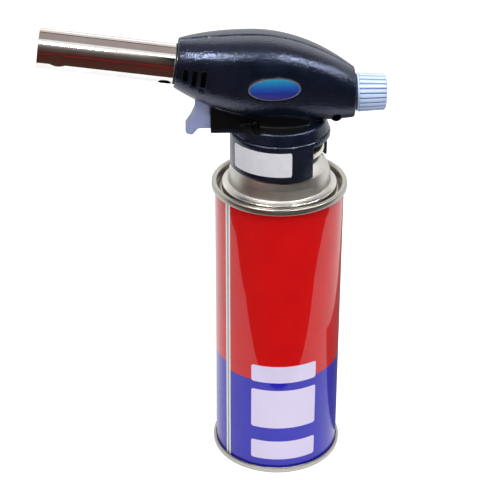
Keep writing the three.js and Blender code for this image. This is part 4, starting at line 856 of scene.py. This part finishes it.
def crossScrew(screw):
    shank, head, half, reach = (screwForm[key] for key in ("shank", "head", "slotHalf", "slotReach"))
    side, seat, tip = sideways(screw), screw["seat"] + seatGap, screw["seat"] - screwForm["long"]
    top = seat + screwForm["headHigh"]
    form = turned([(0, tip), (shank, tip + screwForm["point"], 0.4), (shank, seat), (head, seat, 0.2),
                   (head, top - 0.2, 0.9), (0, top)], 40, closed=False, place=side)
    low = top - screwForm["slotDeep"]
    return cut(form, *(brick((-reach, -half, low), (reach, half, top + 1), side @ turnBy(turn, "Z"))
                       for turn in (0, 90)))


piece(badgePlate(), "badgePlate", "head", enamel(), "badge_plate")
for screw in screws:
    piece(crossScrew(screw), screw["name"], "head", screwSteel, screw["node"])
print("housing made")


# burner: polished tube with three pressed dimples and an air hole

def flameTube():
    radius, reach, inside, plain = (flame[key] for key in ("radius", "reach", "inside", "plainRow"))
    bore, back, rimOut = radius - flame["wall"], -inside - flame["rimThick"], radius + flame["rimWide"]
    dimple, count = flame["dimpleRadius"], flame["dimpleRows"]
    middle = reach - flame["dimpleFrom"]
    rows = [middle - dimple + 2 * dimple / count * k for k in range(count + 1)]
    outer = [(rimOut, back, 0.2), (rimOut, -inside, 0.3), (radius, -inside, 0.4), (radius, 0)]
    outer += [(radius, row) for row in [plain] + rows] + [(radius, reach, 0.3)]
    inner = [(bore, reach, 0.3)] + [(bore, row) for row in reversed([0, plain] + rows)] + [(bore, back, 0.3)]
    bm = turned(outer + inner, flame["sides"])
    for k in range(flame["dimples"]):  # pressed in through both faces of the sheet
        turn = -radians(flame["dimpleAngle"]) - 2 * pi * k / flame["dimples"]
        facing = Vector((cos(turn), sin(turn), 0))
        spot = facing * radius + Vector((0, 0, middle))
        for vert in bm.verts:
            if vert.co.dot(facing) < 0.7 * bore:
                continue
            off = vert.co - spot
            away = (off - facing * off.dot(facing)).length / dimple
            if away < 1:
                vert.co -= facing * flame["dimpleDepth"] * (1 - away ** 2) ** 2
    long, wide = flame["slotLong"] / 2, flame["slotWide"] / 2
    slot = brick((-30, -wide, flame["slotPlace"] - long), (30, wide, flame["slotPlace"] + long),
                 turnBy(flame["slotAngle"], "Z"), bevel=0.999 * wide, along=0)
    shape = cut(bm, slot)
    shape.data.transform(burner)
    return shape


def polished():
    look = newLook("polishedSteel")
    placed = {"origin": toFrame @ burner.translation, "turn": (0, radians(body["pitch"] - 90), 0)}
    spot = look.place(**placed)
    marks = look.noise(look.place(**placed, stretch=(1, 1, 0.06)), 1.6, 4.0, 0.6)
    cloud = look.noise(spot, 0.12, 3.0)
    x, y, along = look.parts(spot)
    heat = look.spread(along, flame["reach"] - 9, flame["reach"] + 1)
    heat = heat * look.spread(cloud, 0.35, 0.65, 0.5, 1.0)
    steel = look.mix(heat * 0.3, look.clouded(cloud, (226, 223, 221), (234, 232, 231)), (206, 186, 158))
    bore = look.within(look.length(x, y), flame["radius"] - 0.64, 0.02)
    insideShade = bore.atLeast(look.within(along, 0.9, 0.2))  # painted shade: dark on the bore, and on the length inside the housing
    return look.done(baseColor=look.mix(insideShade, steel, (26, 25, 25)), metallic=1 - insideShade * 0.6,
                     roughness=look.vary(marks, 0.05, 0.06) + insideShade * 0.5, normal=look.bump(marks, 5e-8))


piece(flameTube(), "flameTube", "head", polished(), "flame_tube")
print("burner made")


# gas knob: narrow flutes, a plain flange at its inner end and a chamfered outer end

knob = {"start": 37.2, "length": 14.5, "flange": 0.8, "flangeRadius": 9.3, "radius": 9.75, "endRadius": 9.0,
        "chamfer": 0.9, "flutes": 24, "grooveShare": (0, 0, 0, 0, 0, 0, 0, 0, 0.5, 1, 1, 0.5), "depth": 1.3,
        "socket": 3.1, "socketDeep": 10.5}


def gasKnob():
    start, flange, end = knob["start"], knob["start"] + knob["flange"], knob["start"] + knob["length"]
    wide, tip, lip, depth = knob["radius"], knob["endRadius"], knob["flangeRadius"], knob["depth"]
    plain = [(start, lip - 0.3), (start + 0.3, lip), (flange, lip), (flange + 0.05, wide - depth)]
    fluted = [(flange + 0.1, wide - 0.2), (flange + 0.3, wide), (end - knob["chamfer"], tip),
              (end - 0.25, tip - 0.55), (end, tip - 1.1)]
    face = [(end - 0.02, tip - 2.3), (end - 0.3, tip - 2.8), (end - 0.3, 0.4)]
    perFlute = len(knob["grooveShare"])
    bm = bmesh.new()
    rings = []
    for x, radius in plain + fluted + face:
        made = bmesh.ops.create_circle(bm, segments=knob["flutes"] * perFlute, radius=radius,
                                       matrix=Matrix.Translation((0, 0, x)))
        if (x, radius) in fluted:
            for i, vert in enumerate(made["verts"]):
                vert.co.xy *= 1 - knob["grooveShare"][i % perFlute] * depth / radius
        rings.append(ringEdges(made))
    return cut(put(skinned(bm, rings), knobLine),
               rod(knob["socket"], start - 1, start + knob["socketDeep"], 32, knobLine))


piece(gasKnob(), "gasKnob", "gas_control", knobPlastic, "gas_knob", sharp=25)


# trigger: a side outline with a curled lip, raised across and rounded

lever = {"half": 7.0, "front": -42.2, "back": -34.5, "tailBack": -31.0, "top": body["belly"] + 13.2,
         "tailTop": body["belly"] + 4.6, "under": body["blockFoot"] + 1.2, "lipOut": 4.8, "lipDrop": 3.9,
         "lipThick": 4.2, "lipNarrow": 0.4, "round": 0.9, "railReach": 1.3, "railLong": 1.7, "railHalf": 1.2}


def trigger():
    front, under, out, half = lever["front"], lever["under"], lever["lipOut"], lever["half"]
    back, tail, tailTop, top = lever["back"], lever["tailBack"], lever["tailTop"], lever["top"]
    lipX, lipFoot, thick = front - out, under - lever["lipDrop"], lever["lipThick"]
    outline = [(front, top), (front, under + 1.5 * out, 5.0), (front - 0.45 * out, under + 0.6 * out, 3.0),
               (lipX, under - 0.1 * out, 1.0), (lipX, lipFoot, 1.6), (lipX + 0.8 * thick, lipFoot, 1.8),
               (lipX + 1.5 * thick, under, 2.0), (tail, under), (tail, tailTop), (back, tailTop + 0.6, 0.6),
               (back, top)]
    bm = bmesh.new()
    face = bm.faces.new([bm.verts.new((x, -half, z)) for x, z in softOutline(outline, 8)])
    grown = bmesh.ops.extrude_face_region(bm, geom=[face])
    moved = [item for item in grown["geom"] if isinstance(item, bmesh.types.BMVert)]
    bmesh.ops.translate(bm, vec=(0, 2 * half, 0), verts=moved)
    bmesh.ops.recalc_face_normals(bm, faces=bm.faces)
    rims = [edge for edge in bm.edges if abs(edge.verts[0].co.y - edge.verts[1].co.y) < 1e-5]
    roundEdges(bm, rims, lever["round"], 4)
    for vert in bm.verts:  # the lip narrows towards its tip
        vert.co.y *= 1 - lever["lipNarrow"] * max(0, (front - vert.co.x) / out)
    reach, railHalf = lever["railReach"], lever["railHalf"]
    rails = [brick((tail - lever["railLong"], side - reach, slide["railZ"] - railHalf),
                   (tail, side + reach, slide["railZ"] + railHalf), bevel=0.3) for side in (-half, half)]
    return join(bm, *rails)


piece(trigger(), "triggerPull", "trigger_unit", lilacPlastic, "trigger")
print("knob and trigger made")


# inner pieces: copies of the solids, merged, edges broken and finished

inner = {"brass": (brass, "inlet_adapter", "valve_body", "flame_holder", "mixing_tube", "gas_jet",
                   "gland_nut", "valve_spindle"),
         "copper": (copper, "gas_pipe"),
         "rubber": (blackRubber, "stem_gasket", "inlet_seal", "spindle_oring"),
         "white_plastic": (naturalPlastic, "valve_housing", "valve_stem", "dip_tube", "piezo_plunger"),
         "spring_steel": (springSteel, "valve_spring", "electrode_pin"),
         "ceramic": (glazedCeramic, "electrode_insulator"),
         "black_plastic": (blackPlastic, "piezo_case", "ignition_wire")}
behaviour = frame["record"]["behaviour"]
bodyOf = {node: name for name, nodes in behaviour["bodies"].items() for node in nodes}
for slotName, (material, *names) in inner.items():
    for node in names:
        source = frame["nodes"][node]
        bm = bmesh.new()
        bm.from_mesh(source.data)
        bmesh.ops.remove_doubles(bm, verts=bm.verts, dist=1e-6)
        put(bm, toFrame.inverted() @ source.matrix_world)
        first, *others = node.split("_")
        name = first + "".join(word.capitalize() for word in others)
        piece(broken(asShape(bm), 0.12, 2, 40), name, bodyOf[node], material, node)

press = next(joint for joint in behaviour["joints"] if joint["name"] == "stem_press")
springFoot, springTop = press["deforming_nodes"][0]["fixed_end_z_m"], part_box("valve_spring")[1][2]
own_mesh(bpy.data.objects["valveSpring"], "stem_press", axis=(0, 0, 1), anchor=(canAxis.x, 0, springFoot),
          keep=1 + press["range_m"][0] / (springTop - springFoot))  # its own copy of the mesh
print("inner pieces made")


# stage, light and camera, in metres

stage = {"floor": 3.0, "floorSeen": 0.62, "floorMirrored": 0.32, "fill": 0.3,
         "key": 23.5, "keySize": 1.0, "keyPlace": (0.08, -0.32, 1.3), "keyAim": (0, 0, 0.12),
         "cardFoot": ((-0.3, 0.03), (-0.275, -0.045), (-0.225, -0.075), (-0.175, -0.105), (-0.115, -0.11),
                      (0.105, -0.11), (0.2, -0.11), (0.235, -0.095), (0.27, -0.065), (0.3, -0.025),
                      (0.305, 0.015)),
         "cardTop": 0.36, "cardBand": 0.136, "cardStreaks": 0.2,
         # each strip's place about the can, length, width and brightness
         "strips": (((-0.1, -0.118, 0.388), 0.085, 0.036, 65.0), ((0.0, -0.113, 0.404), 0.1, 0.02, 3.0),
                    ((0.1, -0.09, 0.389), 0.08, 0.02, 50.0), ((0.172, -0.035, 0.342), 0.07, 0.02, 35.0)),
         "stripAim": (-0.012, 0.232), "backPlace": (0.0, 0.35, 0.55), "backAim": (0, 0, 0.23),
         "backSize": (0.7, 0.4), "back": 0.4}
flats = {"greyCeiling": ((1.0, 0.7), (0.0, 0.25, 0.62), (172, 160, 156)),
         # painted shade: a grey sheet standing for the shaded floor behind, seen in reflections
         "floorShadeSheet": ((0.18, 0.5), (0.06, 0.25, 0.002), (110, 108, 112)),
         "darkBar": ((1.0, 0.06), (0.0, 0.26, 0.6), (90, 62, 60))}  # size, place and tone


def backdrop():  # white where it is seen, a soft fill elsewhere
    scene.world = bpy.data.worlds.new("studio")
    look = Look(scene.world)
    seen = look.node("LightPath", output="Is Camera Ray")
    for kind in ("Is Glossy Ray", "Is Transmission Ray"):
        seen = seen.atLeast(look.node("LightPath", output=kind))
    look.feed(look.tree.nodes["Background"], {"Color": (255, 255, 255),
                                              "Strength": look.spread(seen, 0.0, 1.0, stage["fill"], 1.0)})


def floorLook():
    look = newLook("paleFloor")
    cloud = look.noise(look.node("TexCoord", output="Object"), 6.0, 3.0)
    look.done(baseColor=look.mix(cloud, (214, 214, 216), (218, 218, 219)), roughness=0.6, specular=0.0)
    lit = (look.node("LightPath", output="Is Camera Ray") * stage["floorSeen"]
           + look.node("LightPath", output="Is Glossy Ray") * stage["floorMirrored"])
    glow = look.node("Emission", {"Color": (255, 255, 255), "Strength": lit})
    return look.surface(look.node("AddShader", {0: look.own(), 1: glow}))


def glowing(look, tone):
    return look.surface(look.node("Emission", {"Color": tone, "Strength": 1.0}))


def cardLook():  # streaked red at its left end, dark elsewhere
    look = newLook("darkCard")
    spot = look.node("TexCoord", output="Object")
    x, y, z = look.parts(spot)
    tone = look.ramp(z / stage["cardTop"], (0.0, (66, 58, 48)), (0.45, (80, 46, 38)), (0.66, (72, 38, 36)),
                     (0.8, (94, 86, 80)), (0.9, (140, 135, 130)), (1.0, (252, 250, 245)))
    wave = look.noise(look.node("Mapping", {"Vector": spot, "Scale": (3.0, 3.0, 70.0)}), 1.0)
    streaks = look.spread(wave, 0.56, 0.66) * look.spread(abs(z - stage["cardStreaks"]), 0.02, 0.07, 0.7, 0.0)
    band = look.fade(abs(z - stage["cardBand"]), 0.014, 0.022)
    return glowing(look, look.mix(look.spread(x, canAxis.x - 0.055, canAxis.x - 0.03),
                                  look.mix(streaks, tone, (160, 34, 32)),
                                  look.mix(band, (10, 11, 15), (150, 139, 132))))


def flatSheet(name, size, place, material):
    bm = bmesh.new()
    bmesh.ops.create_grid(bm, x_segments=1, y_segments=1, size=0.5,
                          matrix=Matrix.Translation(place) @ Matrix.Diagonal((*size, 1, 1)))
    sheet = asShape(bm, name)
    sheet.data.materials.append(material)
    return sheet


def bentCard():
    bm = bmesh.new()
    feet = [bm.verts.new((canAxis.x + x, y, 0.0)) for x, y in stage["cardFoot"]]
    edges = [bm.edges.new(pair) for pair in zip(feet, feet[1:])]
    raised = bmesh.ops.extrude_edge_only(bm, edges=edges)["geom"]
    bmesh.ops.translate(bm, vec=(0, 0, stage["cardTop"]),
                        verts=[item for item in raised if isinstance(item, bmesh.types.BMVert)])
    sheet = asShape(bm, "darkCard")
    sheet.data.materials.append(cardLook())
    return sheet


def facing(place, way, axis):
    return Matrix.Translation(place) @ Vector(way).to_track_quat(axis, "Y").to_matrix().to_4x4()


def softLamp(name, place, aim, size, energy):
    lamp = bpy.data.lights.new(name, "AREA")
    lamp.energy = energy
    lamp.shape = "DISK" if len(size) == 1 else "RECTANGLE"
    lamp.size, lamp.size_y = size[0], size[-1]
    made = bpy.data.objects.new(name, lamp)
    scene.collection.objects.link(made)
    made.matrix_world = facing(place, Vector(place) - Vector(aim), "Z")
    made.visible_camera = False
    return made


def glossLamp(name, place, aim, long, wide, bright):  # seen in glossy surfaces alone
    lamp = softLamp(name, place, aim, (long, wide), bright * long * wide * pi)
    lamp.visible_diffuse = lamp.visible_transmission = False
    return lamp


backdrop()
floor = flatSheet("floor", (2 * stage["floor"], 2 * stage["floor"]), (0, 0, 0), floorLook())
card = bentCard()
ceiling, floorShade, bar = (flatSheet(name, size, canAxis + Vector(place), glowing(newLook(name), tone))
                     for name, (size, place, tone) in flats.items())
for sheet in (card, ceiling, floorShade, bar):  # seen in glossy surfaces alone
    sheet.visible_camera = sheet.visible_diffuse = sheet.visible_shadow = sheet.visible_transmission = False

key = softLamp("key", stage["keyPlace"], stage["keyAim"], (stage["keySize"],), stage["key"])
key.visible_glossy = False
for place, *rest in stage["strips"]:
    aim = canAxis + Vector((place[0] / 2, *stage["stripAim"]))
    glossLamp("strip", canAxis + Vector(place), aim, *rest)
glossLamp("back", stage["backPlace"], stage["backAim"], *stage["backSize"], stage["back"])

view = {"place": (-44.815, -714.3, 525.65), "look": (0.0304, 0.8715, -0.4895), "lens": 119.12,
        "sensor": 36.0, "clip": (0.01, 20.0)}  # place in mm about the can's axis
eye = bpy.data.cameras.new("camera")
eye.lens, eye.sensor_width = view["lens"], view["sensor"]
eye.clip_start, eye.clip_end = view["clip"]
camera = bpy.data.objects.new("camera", eye)
scene.collection.objects.link(camera)
camera.matrix_world = facing(toFrame @ Vector(view["place"]), view["look"], "-Z")
scene.camera = camera
scene.view_settings.view_transform = "Standard"
print("stage made")
